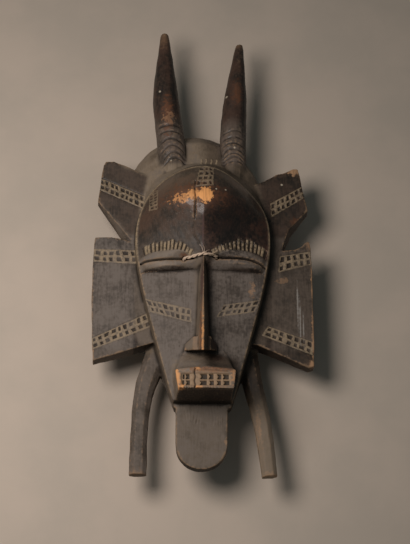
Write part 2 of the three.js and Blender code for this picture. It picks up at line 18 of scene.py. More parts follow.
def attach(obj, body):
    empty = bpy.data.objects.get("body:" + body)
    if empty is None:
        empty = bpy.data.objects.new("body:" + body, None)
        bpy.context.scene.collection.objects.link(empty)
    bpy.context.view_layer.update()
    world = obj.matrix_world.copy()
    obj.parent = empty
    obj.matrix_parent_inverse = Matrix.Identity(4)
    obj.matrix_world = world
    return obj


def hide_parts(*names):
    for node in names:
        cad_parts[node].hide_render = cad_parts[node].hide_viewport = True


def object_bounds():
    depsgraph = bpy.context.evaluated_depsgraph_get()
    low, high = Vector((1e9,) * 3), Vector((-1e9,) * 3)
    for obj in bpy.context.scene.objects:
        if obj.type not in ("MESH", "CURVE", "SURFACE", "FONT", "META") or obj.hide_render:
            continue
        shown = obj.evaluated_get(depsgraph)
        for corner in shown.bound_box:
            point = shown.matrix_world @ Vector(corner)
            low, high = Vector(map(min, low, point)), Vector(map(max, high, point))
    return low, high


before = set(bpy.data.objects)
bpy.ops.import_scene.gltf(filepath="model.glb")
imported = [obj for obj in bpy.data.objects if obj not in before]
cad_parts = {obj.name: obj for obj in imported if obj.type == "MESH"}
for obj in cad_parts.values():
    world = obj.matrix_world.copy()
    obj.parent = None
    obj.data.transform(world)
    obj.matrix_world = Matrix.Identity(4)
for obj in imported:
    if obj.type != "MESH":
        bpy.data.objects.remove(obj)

MM = 0.001
solid_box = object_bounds()
print("solid", [round(1000 * side, 1) for side in solid_box[1] - solid_box[0]], "mm")

# %% [markdown]
# ## The camera
#
# The mask lies on its back, and the camera looks down on it from a little below its chin. A
# long lens keeps the horns and the chin nearly the same size. The camera is made first, so
# that every later step can be judged in the same frame.

# %% Look down on the mask
AIM = Vector((2, -23.2, 32)) * MM
LEAN, TURN = math.radians(25), math.radians(1.5)
AWAY, LENS = 1.25, 112

towards_camera = Vector((
    -math.sin(TURN) * math.cos(LEAN), -math.sin(LEAN), math.cos(TURN) * math.cos(LEAN)))
towards_camera.normalize()
to_the_right = (-towards_camera).cross(Vector((0, 1, 0))).normalized()
upwards = to_the_right.cross(-towards_camera)

bpy.ops.object.camera_add(location=AIM + towards_camera * AWAY)
camera = bpy.context.object
camera.name = "camera"
camera.data.lens = LENS
camera.matrix_world = Matrix.Translation(camera.location) @ Matrix(
    (to_the_right, upwards, towards_camera)).transposed().to_4x4()
bpy.context.scene.camera = camera
print("camera", AWAY, "m away, lens", LENS, "mm")

# %% [markdown]
# ## The floor and the light
#
# One soft light stands to the left and not far off, so the floor is nearly twice as bright on
# that side and every edge throws a broad, soft shadow to the right. A dim even sky fills the
# shadows. A wide lamp close by gives this more simply than several lamps would.

# %% Light the table
LAMP_PLACE, LAMP_AIM = Vector((-0.25, -0.08, 0.55)), Vector((-0.2, -0.08, 0))
LAMP_SIZE, LAMP_WATTS, LAMP_COLOUR = 0.31, 2.68, (1.0, 0.96, 0.935)
SKY_STRENGTH, SKY_COLOUR = 0.105, (0.80, 0.96, 1.0, 1)

bpy.ops.object.light_add(type="AREA", location=LAMP_PLACE)
lamp = bpy.context.object
lamp.name = "soft_lamp"
lamp.data.shape = "DISK"
lamp.data.size, lamp.data.energy, lamp.data.color = LAMP_SIZE, LAMP_WATTS, LAMP_COLOUR
lamp.rotation_euler = (LAMP_AIM - LAMP_PLACE).to_track_quat("-Z", "Y").to_euler()

sky = bpy.data.worlds.new("even_sky")
sky.use_nodes = True
background = sky.node_tree.nodes["Background"]
background.inputs["Color"].default_value = SKY_COLOUR
background.inputs["Strength"].default_value = SKY_STRENGTH
bpy.context.scene.world = sky
bpy.context.scene.view_settings.view_transform = "Standard"
print("lamp", LAMP_WATTS, "W, sky", SKY_STRENGTH)

# %% Lay the floor
FLOOR_SIZE = 6

bpy.ops.mesh.primitive_plane_add(size=FLOOR_SIZE)
floor = bpy.context.object
floor.name = "floor"
print("floor under", round(1000 * solid_box[0].z, 2), "mm")

# %% [markdown]
# ## The block
#
# The finished solid is cut in flat facets. A carver would scrape these away, so the copy is
# first turned into an even skin of small faces, as clay has, and then rubbed down: hard on the
# cap, the forehead and the cheeks, hardly at all on the flat wings and flaps. An even skin also
# gives the chip carving something to cut into, whatever shape the facets below had.

# %% Helpers for one piece at a time
def work_on(piece):
    """Deselects everything and selects one piece alone."""
    bpy.ops.object.select_all(action="DESELECT")
    piece.select_set(True)
    bpy.context.view_layer.objects.active = piece


def apply_new_modifier(piece, kind, **settings):
    """Adds a modifier, sets it up and applies it."""
    work_on(piece)
    modifier = piece.modifiers.new(kind.lower(), kind)
    for name, value in settings.items():
        setattr(modifier, name, value)
    bpy.ops.object.modifier_apply(modifier=modifier.name)


def numbers(items, attribute, width=3, kind=np.float32):
    """Reads one attribute of many items at once, a row of numbers for each."""
    flat = np.empty(len(items) * width, kind)
    items.foreach_get(attribute, flat)
    return flat.reshape(-1, width)


def places(piece):
    """Where each vertex is, in millimetres."""
    return numbers(piece.data.vertices, "co").astype(float) / MM


def facing(piece):
    """The way the surface faces at each vertex."""
    return numbers(piece.data.vertex_normals, "vector").astype(float)


def put(piece, new_places):
    """Moves each vertex to its new place, given in millimetres."""
    piece.data.vertices.foreach_set("co", (new_places * MM).astype(np.float32).ravel())
    piece.data.update()


# %% Helpers for values over the surface
def eased(value, start, end):
    """How far a value has come from start to end, up or down, from 0 to 1 with soft ends."""
    share = np.clip((value - start) / (end - start), 0, 1)
    return share * share * (3 - 2 * share)


def between(value, low, high):
    """True where a value lies between two limits."""
    return (value > low) & (value < high)


# %% Copy the solid and give it an even skin
SKIN = 0.6

carving = bpy.data.objects.new("carved_mask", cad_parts["mask"].data.copy())
bpy.context.scene.collection.objects.link(carving)
work_on(carving)
bpy.ops.object.mode_set(mode="EDIT")
bpy.ops.mesh.select_all(action="SELECT")
bpy.ops.mesh.remove_doubles(threshold=0.001 * MM)
bpy.ops.object.mode_set(mode="OBJECT")
print("block", len(carving.data.polygons), "faces")
apply_new_modifier(carving, "REMESH", mode="VOXEL", voxel_size=SKIN * MM)
print("skin", len(carving.data.polygons), "faces")

# %% Where the face, its brows and its rim are
# The arch of the face is half an ellipse, and on the right it hangs a little. The jaw bends in.
FACE_HALF_WIDTH, FACE_WIDEST_Y, ARCH_RISE = 48.7, -5.0, 58.3
JAW_SLOPE, JAW_BEND = 0.29, 36
HANG_DROP, HANG_FROM_Y, HANG_FULL_Y = 4.2, 0, 25
BROW_X, BROW_Y, BROW_DROP = 26.0, -21.3, 0.0125
# The share that a place over the arch counts as.
OVER_THE_ARCH = 9


def face_half_width(y):
    """Half the width of the face between its rims, at a height on the face."""
    above = y - FACE_WIDEST_Y
    arch = FACE_HALF_WIDTH * np.sqrt(np.clip(1 - (above / ARCH_RISE) ** 2, 0, 1))
    jaw = FACE_HALF_WIDTH - JAW_SLOPE * (np.hypot(above, JAW_BEND) - JAW_BEND)
    return np.where(above >= 0, arch, jaw)


def hang(x, y):
    """How far the arch hangs down on the right of the middle."""
    out = np.clip(x / FACE_HALF_WIDTH, 0, 1) ** 2
    return 4 * HANG_DROP * out * (1 - out) * eased(y, HANG_FROM_Y, HANG_FULL_Y)


def share_to_rim(x, y):
    """0 on the middle line of the face, 1 on its rim and more outside it."""
    level = y + hang(x, y)
    across = np.abs(x) / np.maximum(face_half_width(level), 1e-6)
    return np.where(level < FACE_WIDEST_Y + ARCH_RISE, across, OVER_THE_ARCH)


def brow_line(x):
    """The height of the brows, which bow down on both sides."""
    return BROW_Y - BROW_DROP * (np.abs(x) - BROW_X) ** 2


print("face", 2 * FACE_HALF_WIDTH, "mm wide")

# %% Where the carver rubbed it down
# The numbers are places on the mask in millimetres, read off the solid, where a share comes up
# from 0 to 1 or goes down again.
def rubbed_down(p):
    """How hard each place was rubbed, from 0 to 1."""
    x, y, z = p.T
    out, across = np.abs(x), share_to_rim(x, y)
    keel = eased(out, 8, 3) * eased(y, 14, 6)
    above_brow = eased(y, brow_line(x) + 6, brow_line(x) + 11)
    forehead = above_brow * eased(across, 0.97, 0.9) * (1 - keel)
    off_nose = eased(out, 9, 13) * eased(across, 0.95, 0.88)
    cheek = 0.5 * eased(y, -36, -42) * eased(y, -95, -88) * off_nose
    front = np.where((across < 1) & (z > 44), np.maximum(forehead, cheek), 0)
    ring = np.hypot(out / 58, (y + 5) / 70)
    cap = eased(ring, 0.99, 1.04) * eased(y, 30, 50) * eased(out, 56, 50) * eased(y, 98, 92)
    lip_y = 12 * eased(out, 15, 20) - 105
    over_lip = eased(y, lip_y + 4, lip_y) * eased(y, -118.8, -116.5) * eased(across, 0.96, 0.9)
    muzzle = over_lip * between(z, 46, 77.5)
    hollow = 0.6 * ((out < 40) & between(y, -95, 90) & between(z, 1.5, 34))
    return np.maximum.reduce([front, cap, muzzle, hollow])


STEPS, RUBS, RUBS_OVER_ALL, RUB = 8, 70, 2, 0.5

rubbed = rubbed_down(places(carving))
sanded = carving.vertex_groups.new(name="sanded")
for step in range(1, STEPS + 1):
    here = np.nonzero(np.round(rubbed * STEPS) == step)[0]
    sanded.add(here.tolist(), step / STEPS, "REPLACE")
apply_new_modifier(carving, "SMOOTH", factor=RUB, iterations=RUBS, vertex_group="sanded")
apply_new_modifier(carving, "SMOOTH", factor=RUB, iterations=RUBS_OVER_ALL)
print("rubbed down", int((rubbed > 0.5).sum()), "places")

# %% [markdown]
# ## The horns
#
# Rubbing down would make the horns thinner, because it pulls a thin round thing together. A
# carver turns the horn in the hand and scrapes until the section is round. Here each place on a
# horn is moved to the right distance from the horn's middle line, which keeps its full size,
# and the tip is rounded over.

# %% A smooth line through a few places
def smooth_route(points, spacing):
    """A smooth line through the points, with a place at every spacing, and its length."""
    points = np.array(points, float)
    padded = np.vstack([2 * points[0] - points[1], points, 2 * points[-1] - points[-2]])
    fine = []
    for i in range(1, len(padded) - 2):
        p0, p1, p2, p3 = padded[i - 1:i + 3]
        for t in np.linspace(0, 1, 24, endpoint=False):
            fine.append(0.5 * (2 * p1 + (p2 - p0) * t + (2 * p0 - 5 * p1 + 4 * p2 - p3) * t ** 2
                               + (3 * p1 - p0 - 3 * p2 + p3) * t ** 3))
    fine = np.vstack([fine, points[-1]])
    lengths = np.append(0, np.cumsum(np.linalg.norm(np.diff(fine, axis=0), axis=1)))
    steps = np.append(np.arange(0, lengths[-1], spacing), lengths[-1])
    route = [np.interp(steps, lengths, fine[:, axis]) for axis in range(3)]
    return np.column_stack(route), lengths[-1]


# %% Scrape the horns round
# Across, up and the radius there, from the root to the tip. The middle is 36 mm above the table.
HORNS = {
    "left": [
        (-20.5, 46, 10.4), (-21.6, 62, 10.8), (-23.4, 78, 10.9), (-26.4, 103, 10.4),
        (-28.5, 124, 9.7), (-29.3, 152, 6.7), (-29.8, 180.9, 2.8)],
    "right": [
        (23.2, 46, 9.6), (23.4, 64, 9.9), (23.1, 85, 10), (24.1, 104, 9.6),
        (25.2, 121, 8.7), (27, 146, 5.9), (28.9, 171.8, 2.8)],
}
HORN_Z, TIP_ROUND = 36.0, 2.2
# The horns grow out of the cap between these heights.
ROOT_START, ROOT_END = 62, 74


def horn_shares(p, horn):
    """How far each place is from the horn's middle line, the radius there, and the way out."""
    line, _ = smooth_route(horn, 0.5)
    middle_x, radius = [np.interp(p[:, 1], line[:, 1], line[:, axis]) for axis in (0, 2)]
    out_x, out_z = p[:, 0] - middle_x, p[:, 2] - HORN_Z
    return np.hypot(out_x, out_z), radius, np.arctan2(out_x, out_z)


surface = places(carving)
for side, horn in HORNS.items():
    away, radius, turn = horn_shares(surface, horn)
    y, end = surface[:, 1].copy(), horn[-1][1]
    into_tip = np.clip((y - end + TIP_ROUND) / TIP_ROUND, 0, 1)
    flat_end = (y > end - 0.35) & (away < radius + 1)
    domed_y = end - TIP_ROUND * (1 - np.sqrt(np.clip(1 - (away / radius) ** 2, 0, 1)))
    on_horn = (y <= end + 0.5) & ~flat_end
    share = on_horn * eased(y, ROOT_START, ROOT_END) * eased(np.abs(away - radius), 1.7, 1.0)
    moved = (radius * np.sqrt(1 - 0.75 * into_tip ** 2) - away) * share
    surface[:, 0] += moved * np.sin(turn)
    surface[:, 2] += moved * np.cos(turn)
    surface[:, 1] = np.where(flat_end, np.minimum(y, domed_y), y)
    print(side, "horn:", int((share > 0.5).sum()), "places scraped")
put(carving, surface)
apply_new_modifier(carving, "SMOOTH", factor=RUB, iterations=1)

# %% [markdown]
# ## The places for the chip carving
#
# Rows of small square pits run across the wings, the flaps and the cheeks, two rows to a band,
# with a wall left between the pits. Short cuts stand over each eye. Each band is a four-sided
# field given by its corners, so one way of cutting serves them all. The skin is divided once
# more in these fields alone, because a pit's edge needs smaller faces.

# %% The bands of pits, by their corners
# The corners in millimetres (outer top, inner top, inner bottom, outer bottom), the columns, the
# rows, and how deep the band is cut, because some of the carving is faint.
BANDS = {
    "left wing": ([(-77.5, 51.2), (-43.2, 34.6), (-43.8, 24.2), (-77.3, 41.4)], 9, 2, 1),
    "right wing": ([(76.2, 46.4), (50.6, 29.8), (51.4, 18.8), (78.4, 37.8)], 7, 2, 1),
    "left flap, upper": ([(-80, -8.3), (-48.4, -10.2), (-48.0, -20.8), (-80.2, -18.2)], 6, 2, 1),
    "left flap, lower": ([(-80, -79.8), (-40.6, -61.2), (-37, -71.2), (-79.6, -88.4)], 9, 2, 1),
    "right flap, upper": ([(79.8, -8.4), (57.0, -13.6), (55.6, -26.2), (80.8, -18.6)], 5, 2, 1),
    "right flap, lower": ([(79.9, -81.0), (47.2, -69.8), (42.9, -77.0), (79.4, -90.9)], 7, 2, 1),
    "left cheek": ([(-42.0, -54.2), (-8.6, -64.4), (-8.4, -74.6), (-37.8, -64.6)], 8, 2, 0.8),
    "right cheek": ([(40.6, -54.6), (14.8, -60.4), (9.6, -70.2), (37.8, -63.6)], 6, 2, 0.85),
    "left temple": ([(-39.4, 31.0), (-33.4, 29.6), (-33.6, 11.0), (-40.0, 12.6)], 2, 6, 0.7),
    "forehead": ([(-2.7, 43.5), (7.4, 43.5), (6.9, 23.8), (-5.9, 22.5)], 3, 4, 0.85),
}
# How much of a pitch is wall, along the band and down it.
WALL_ALONG, WALL_DOWN = 0.44, 0.38


def field_shares(p, corners):
    """Where each place is in a four-sided field: 0 to 1 along it, and 0 to 1 down it."""
    a, b, c, d = np.array(corners, float)
    along, down = np.full((2, len(p)), 0.5)
    for _ in range(5):
        top, low = a + np.outer(along, b - a), d + np.outer(along, c - d)
        miss = p[:, :2] - (top + (low - top) * down[:, None])
        step_along = (b - a) * (1 - down)[:, None] + (c - d) * down[:, None]
        step_down = low - top
        cross = step_along[:, 0] * step_down[:, 1] - step_along[:, 1] * step_down[:, 0]
        along += (miss[:, 0] * step_down[:, 1] - miss[:, 1] * step_down[:, 0]) / cross
        down += (step_along[:, 0] * miss[:, 1] - step_along[:, 1] * miss[:, 0]) / cross
        along, down = np.clip(along, -1, 2), np.clip(down, -1, 2)
    return along, down


print("bands", len(BANDS))

# %% The short bars over the eyes, between two bowed lines
# Each line is given by its places from left to right, and each bar by its place across the face,
# half-way down the brow.
BROWS = {
    "left": {
        "top": [(-43.6, -15), (-37.4, -13), (-31.4, -12), (-25.6, -12.3), (-19.1, -14.4),
                (-12.6, -17.6), (-7.4, -21.5)],
        "low": [(-42.6, -21.4), (-37.2, -20.5), (-31.4, -20.5), (-25.6, -20.7), (-19.8, -20.9),
                (-14, -22.6), (-9.2, -25.5)],
        "bars": [-41.4, -39.3, -36.2, -33.4, -30.4, -27.8, -25.2, -22.6, -19.8, -17, -14.2,
                 -11.4, -9.2],
    },
    "right": {
        "top": [(5.6, -22), (11.9, -18), (19.2, -13.6), (26.6, -11.2), (34, -10.8),
                (40.8, -12.2), (46.6, -16.6)],
        "low": [(7.1, -26), (12.6, -23.4), (19.2, -21.2), (25.8, -19.9), (32.5, -19.6),
                (39.2, -20.2), (45, -22.6)],
        "bars": [7.4, 9.6, 12, 14.4, 16.9, 19.7, 22.6, 25.7, 28.8, 31.9, 35, 38, 40.8, 43.2],
    },
}


def brow_shares(p, brow):
    """Each place's way across one eye, carried to mid-brow, its share of it, and 0 to 1 down."""
    top, low = np.array(brow["top"]), np.array(brow["low"])
    x, y = p[:, 0], p[:, 1]
    top_y, low_y = np.interp(x, *top.T), np.interp(x, *low.T)
    down = (top_y - y) / (top_y - low_y)
    level = np.clip(down, 0, 1)
    left, right = [top[end, 0] * (1 - level) + low[end, 0] * level for end in (0, -1)]
    share = (x - left) / (right - left)
    middle_left, middle_right = (top[[0, -1], 0] + low[[0, -1], 0]) / 2
    return middle_left + share * (middle_right - middle_left), share, down


print("bars over each eye", [len(brow["bars"]) for brow in BROWS.values()])

# %% Divide the skin where it is carved
MOUTH_LEFT, MOUTH_RIGHT, MOUTH_TOP, MOUTH_LOW, MOUTH_FRONT = -19.2, 22.2, -119.6, -133.2, 79.0
# Four short strokes over the arch: their place across, their top and their lower end.
STROKES = [(-0.9, 66.4, 59.6), (2.6, 66.8, 59.8), (6.6, 66.6, 60.4), (10.4, 66.2, 60.6)]


def in_front(p, n):
    """The side of the mask that shows, and not its hollow."""
    return (n[:, 2] > 0.15) & (p[:, 2] > 32)


def carved_fields(p):
    """True where the skin needs smaller faces."""
    x, y, z = p.T
    fine = between(x, -20.5, 23.5) & between(y, -135, -114) & (z > 70)
    fine |= between(x, -2.5, 12) & between(y, 58, 68)
    for corners, *_ in BANDS.values():
        along, down = field_shares(p, corners)
        fine |= between(along, -0.03, 1.03) & between(down, -0.12, 1.12)
    for brow in BROWS.values():
        _, share, down = brow_shares(p, brow)
        fine |= between(share, -0.03, 1.03) & between(down, -0.15, 1.15)
    return fine


middles = numbers(carving.data.polygons, "center").astype(float) / MM
normals = numbers(carving.data.polygons, "normal").astype(float)
work_on(carving)
bpy.ops.object.mode_set(mode="EDIT")
bpy.ops.mesh.select_mode(type="FACE")
bpy.ops.mesh.select_all(action="DESELECT")
bpy.ops.object.mode_set(mode="OBJECT")
chosen = carved_fields(middles) & in_front(middles, normals)
carving.data.polygons.foreach_set("select", chosen)
bpy.ops.object.mode_set(mode="EDIT")
bpy.ops.mesh.subdivide(number_cuts=1)
bpy.ops.object.mode_set(mode="OBJECT")
print("divided skin", len(carving.data.polygons), "faces")

# %% [markdown]
# ## Cutting the pits
#
# The carver lays out each band with a knife line and lifts the chips out one by one, so the
# pits are alike and yet no two are the same. Each place in a band is pushed in by the depth of
# its pit, and the walls between the pits stay at the surface. How much wall or pit a place has
# is remembered, because the walls catch pale dust and the pits stay dark.

# %% Uneven hand work
def hand(*counts):
    """A steady number from -1 to 1 for each set of whole numbers, as uneven as hand work."""
    sizes = (12.9898, 78.233, 37.719)
    mixed = sum(np.asarray(count) * size for count, size in zip(counts, sizes))
    return 2 * ((np.sin(mixed) * 43758.5453) % 1) - 1


def wobble(p, size, seed):
    """A slow, soft unevenness from -1 to 1 over the surface; size is its length in millimetres."""
    total = np.zeros(len(p))
    for turn in range(4):
        angle, lean = seed * 1.7 + turn * 2.4, 0.8 * math.sin(seed * 2.3 + turn)
        way = np.array([math.cos(angle), math.sin(angle), lean])
        waves = 2 * math.pi / (size * (1 + 0.35 * turn))
        total += np.sin(p @ way * waves + seed * 5.1 + turn * 1.9)
    return total / 2.6


# %% How deep a field is cut at each place
def pits(p, corners, columns, rows, number):
    """Depth share and wall share at each place of a band."""
    a, b, c, d = np.array(corners, float)
    pitch = (np.linalg.norm(b - a) + np.linalg.norm(c - d)) / 2 / columns
    height = (np.linalg.norm(d - a) + np.linalg.norm(c - b)) / 2 / rows
    along, down = field_shares(p, corners)
    inside = between(along, 0, 1) & between(down, -0.02, 1.02)
    uneven = along * columns + 0.16 * wobble(p, 11, number) + 0.05 * wobble(p, 3.5, number + 20)
    uneven_down = down * rows + 0.07 * wobble(p, 13, number + 40)
    column, row = np.floor(uneven), np.clip(np.floor(uneven_down), 0, rows - 1)
    from_middle = (uneven - column - 0.5 + 0.05 * hand(column, row, number)) * pitch
    from_row = (uneven_down - row - 0.5 + 0.05 * hand(row, column, number + 1)) * height
    half_across = pitch * (1 - WALL_ALONG) / 2 * (1 + 0.2 * hand(column, row, number + 2))
    half_down = height * (1 - WALL_DOWN) / 2 * (1 + 0.16 * hand(column, row, number + 3))
    to_edge = np.minimum(half_across - np.abs(from_middle), half_down - np.abs(from_row))
    pit = eased(to_edge, -0.15, 0.55) * (0.8 + 0.25 * hand(column, row, number + 4)) * inside
    outside = np.maximum(-down, down - 1) * height * rows
    knife_line = 0.4 * np.exp(-((outside - 0.45) / 0.4) ** 2) * between(along, -0.01, 1.01)
    walls = inside * eased(to_edge, 0.25, -0.3) * (1 - knife_line)
    return np.maximum(pit, knife_line), walls * (0.85 + 0.2 * hand(column, row, number + 5))


def brow_cuts(across, share, down, bars):
    """Depth share and ridge share of the short bars over an eye."""
    nearest = np.abs(across[:, None] - np.array(bars)[None, :]).argmin(axis=1)
    groove = eased(np.abs(across - np.array(bars)[nearest]), 0.66, 1.08)
    uneven_end = 0.16 * hand(nearest, 3)
    ends = eased(down, -0.06 + uneven_end, 0.1 + uneven_end) * eased(down, 1.04, 0.9)
    ends *= between(share, -0.01, 1.01)
    grooves = groove * ends * (0.9 + 0.15 * hand(nearest, 5))
    return grooves, (1 - groove) * ends * (0.85 + 0.3 * hand(nearest, 9))


# %% Cut the bands and the brows
# Three values are kept for each place: how deep it is cut, how much pale dust it catches as a
# wall, and how dark it is as a pit. The names x, y and z follow the surface as it is cut.
PIT_DEPTH, BROW_DEPTH = 1.05, 0.95

surface, way = places(carving), facing(carving)
x, y, z = surface.T
shows = in_front(surface, way)
depth, dusty, dark = np.zeros((3, len(surface)))
for number, (corners, columns, rows, faint) in enumerate(BANDS.values()):
    pit, wall = pits(surface, corners, columns, rows, number)
    depth = np.maximum(depth, pit * PIT_DEPTH * faint * shows)
    dusty = np.maximum(dusty, 0.85 * np.clip(wall, 0, 1) * shows * faint)
    dark = np.maximum(dark, 0.85 * pit * shows * (0.4 + 0.6 * faint))
for brow in BROWS.values():
    groove, ridge = brow_cuts(*brow_shares(surface, brow), brow["bars"])
    depth = np.maximum(depth, groove * BROW_DEPTH * shows)
    dusty = np.maximum(dusty, np.clip(1.2 * ridge, 0, 1) * shows)
    dark = np.maximum(dark, 0.75 * groove * shows)
z -= depth
print("cut", int((dark > 0.5).sum()), "places in the bands")

# %% [markdown]
# ## The rim of the face
#
# A thin roll stands up along the edge of the face, over the arch and down both sides, and gets
# fainter along the jaw. At the top of the arch it runs a little inside the rim, over the
# forehead. Pale dust lies on it. Four short strokes stand on the band above it. The roll is
# found by each place's distance from a line, seen from the front.

# %% How far each place is from a broken line
def from_line(p, line):
    """How far each place is from a broken line, seen from the front."""
    nearest = np.full(len(p), 1e9)
    for start, end in zip(line[:-1], line[1:]):
        start, run = np.array(start, float), np.array(end, float) - np.array(start, float)
        share = np.clip(((p[:, :2] - start) @ run) / (run @ run), 0, 1)
        away = np.linalg.norm(p[:, :2] - start - np.outer(share, run), axis=1)
        nearest = np.minimum(nearest, away)
    return nearest


# %% Raise the roll along the rim
ROLL_HEIGHT, ROLL_HALF, ROLL_INSIDE, JAW_END_Y = 0.6, 1.0, 9.0, -128

angles = np.linspace(-math.pi / 2, math.pi / 2, 61)
arch_x = FACE_HALF_WIDTH * np.sin(angles)
arch_y = FACE_WIDEST_Y + ARCH_RISE * np.cos(angles) - ROLL_INSIDE * np.cos(angles) ** 4
jaw_y = np.linspace(JAW_END_Y, FACE_WIDEST_Y, 24)
left_jaw = np.column_stack([-face_half_width(jaw_y), jaw_y])
arch = np.column_stack([arch_x, arch_y - hang(arch_x, arch_y)])
away = from_line(surface, np.vstack([left_jaw, arch, left_jaw[::-1] * (-1, 1)]))
roll = np.exp(-(away / ROLL_HALF) ** 2) * (z > 42) * (way[:, 2] > -0.3)
surface += way * (ROLL_HEIGHT * roll * (0.2 + 0.8 * eased(y, -32, -12)))[:, None]
# The pale dust on the roll is weaker on the right, which is painted shade on that side.
catches = eased(y, -36, -10) * (1 - 0.55 * eased(x, 8, 40))
dusty = np.maximum(dusty, np.clip(roll * 1.5 - 0.35, 0, 1) * (0.25 + 0.65 * catches))
beside_roll = np.exp(-((away - 2.1) / 0.7) ** 2) * (share_to_rim(x, y) > 1) * (z > 42)
dark = np.maximum(dark, 0.55 * beside_roll * eased(y, -20, -40))
print("rim", int((roll > 0.5).sum()), "places raised")

# %% Raise the strokes over the arch
for middle, top_y, low_y in STROKES:
    bar = eased(np.abs(x - middle - 0.3 * np.sin(y)), 0.8, 0.3) * shows
    bar *= eased(y, low_y, low_y + 1) * eased(y, top_y, top_y - 1)
    z += 0.4 * bar
    dusty = np.maximum(dusty, 0.95 * bar)
print("strokes", len(STROKES))

# %% [markdown]
# ## The mouth
#
# Two lips frame a sunk band, and in it the teeth are two rows of marks between thin, wavy
# walls. A drying crack has split the lips left of the middle. The front of the mouth is first
# made flat again, because the solid's own marks are only regular placeholders, and then it is
# cut afresh at the places of the real ones.

# %% Lips and teeth
# Heights on the mask, depths and half widths in millimetres. The lips bow up in the middle.
LIP_TOP, LIP_LOW, LIP_SINK, LIP_BOW = -122.0, -131.0, 0.8, 2.2
MOUTH_MIDDLE, MOUTH_HALF, TOOTH_ROW_MIDDLE = 1.5, 20.7, -126.6
# Each pair of marks, one over the other, by its left and right side.
TOOTH_MARKS = [(-15, -13.2), (-12.5, -9.3), (-2.9, 2.3), (3.6, 7.2), (8.8, 12.1), (13.3, 17.8)]
TOOTH_DEPTH, GROOVE_DEPTH, MOUTH_CRACK_X, MOUTH_CRACK_DEPTH = 1.5, 0.5, -6.1, 1.6


def tooth_marks(x, y, rows):
    """The share of mark at each place; rows gives the low and the top end of both rows."""
    marks = np.zeros(len(x))
    for number, (left, right) in enumerate(TOOTH_MARKS):
        for row, (low, top) in enumerate(rows):
            lean = 0.3 * math.sin(3.1 * number + 2 * row)
            bulge = 0.9 * np.exp(-((y - (low + top) / 2) / 0.9) ** 2) * (right - left > 2.5)
            start, end = left + lean + bulge, right + lean
            sideways = eased(x, start, start + 0.5) * eased(x, end, end - 0.5)
            upright = eased(y, low, low + 0.5) * eased(y, top, top - 0.5)
            marks = np.maximum(marks, sideways * upright)
    return marks


def cut_mouth(p, n):
    """The new height of each place, and its share of mark and of wall."""
    x, y, z = p.T
    out = np.abs(x - MOUTH_MIDDLE)
    bow = LIP_BOW * np.clip(1 - (out / MOUTH_HALF) ** 2, 0, 1)
    edge = MOUTH_TOP + bow
    front = between(x, MOUTH_LEFT - 1, MOUTH_RIGHT + 1) & between(y, MOUTH_LOW - 0.5, edge + 0.3)
    front &= z > 75.5
    rolled = 0.35 * eased(out, 17, 21) + 0.5 * eased(y, edge - 1.3, edge + 0.3)
    flat_z = np.where(front & ((n[:, 2] > 0.3) | (z < 78.9)), MOUTH_FRONT - rolled, z)
    top, low = LIP_TOP + 0.4 * bow - 0.3, LIP_LOW
    sunk = eased(y, top, top - 0.6) * eased(y, low, low + 0.6)
    sunk *= eased(x, -15.9, -15.2) * eased(x, 19.1, 18.4)
    marks = tooth_marks(x, y, (
        (low + 0.5, TOOTH_ROW_MIDDLE - 0.3), (TOOTH_ROW_MIDDLE + 0.35, top - 0.6)))
    split = eased(np.abs(x - MOUTH_CRACK_X - 0.3 * np.sin(y)), 0.8, 0.25)
    lip_groove = eased(np.abs(y - (MOUTH_TOP + 0.75 * bow - 1.4)), 0.55, 0.15)
    lip_groove *= between(x, -4.8, 17)
    cut = LIP_SINK * sunk + TOOTH_DEPTH * marks * sunk
    cut += MOUTH_CRACK_DEPTH * split * (1 - 0.5 * sunk) + GROOVE_DEPTH * lip_groove
    shaded = front * np.clip(marks * sunk + split + 0.7 * lip_groove, 0, 1)
    return flat_z - cut * front, shaded, front * (1 - marks) * (1 - split) * sunk


z[:], tooth_dark, tooth_wall = cut_mouth(surface, way)
dark = np.maximum(dark, 0.8 * tooth_dark)
dusty = np.maximum(dusty, 0.6 * tooth_wall)
print("mouth", int((tooth_dark > 0.5).sum()), "places in the marks")

# %% [markdown]
# ## Rings, lids, cracks and chips
#
# Ring cuts bow over the front of each horn's root, more bowed and closer together towards the
# root. The eyelids run out towards the temples, and a fine line is cut under each. The block has
# dried and opened a long crack down the forehead, and knocks have taken chips off the right
# wing, the right flap and the chin tab. Nearly all of these are cuts along the way that the
# surface faces, so they follow its form.

# %% Ring cuts on the horns
# The highest place of each ring cut, and how far its ends hang down. Then, for each horn, how
# wide its cuts are and how much of them is worn away.
RINGS = {
    "left": [(65, 8), (69.6, 7), (75.2, 6.5), (81.4, 5), (88, 2.8), (93.4, 2.2)],
    "right": [(63.2, 3), (66.6, 3.4), (69.6, 3.6), (73.6, 4), (78.7, 4), (84, 3.4), (89.4, 3)],
}
RING_HALF, RING_WORN = {"left": 0.95, "right": 0.7125}, {"left": 0.25, "right": 0.55}
RING_DEPTH, RING_PEAK_TURN = 1.0, 0.08

for side, horn in HORNS.items():
    away, radius, turn = horn_shares(surface, horn)
    at_front = between(away, radius - 2.2, radius + 1.2) & (y > 58) & (np.abs(turn) < 1.6)
    rings = np.zeros(len(surface))
    for number, (peak, drop) in enumerate(RINGS[side]):
        line = peak - drop * np.sin(turn - RING_PEAK_TURN) ** 2
        line += 0.35 * np.sin(3 * turn + 7.3 * number)
        half = RING_HALF[side] * (1 + 0.2 * math.sin(2.7 * number))
        strength = 0.95 + 0.2 * math.sin(5.1 * number)
        rings = np.maximum(rings, strength * np.exp(-((y - line) / half) ** 2))
    rings *= 1 - RING_WORN[side] * eased(wobble(surface, 5, 4), 0.1, 0.7)
    rings *= at_front * eased(np.abs(turn), 1.25, 0.75)
    surface -= way * (RING_DEPTH * rings)[:, None]
    dark = np.maximum(dark, 0.85 * rings)
    print(side, "horn:", len(RINGS[side]), "ring cuts")

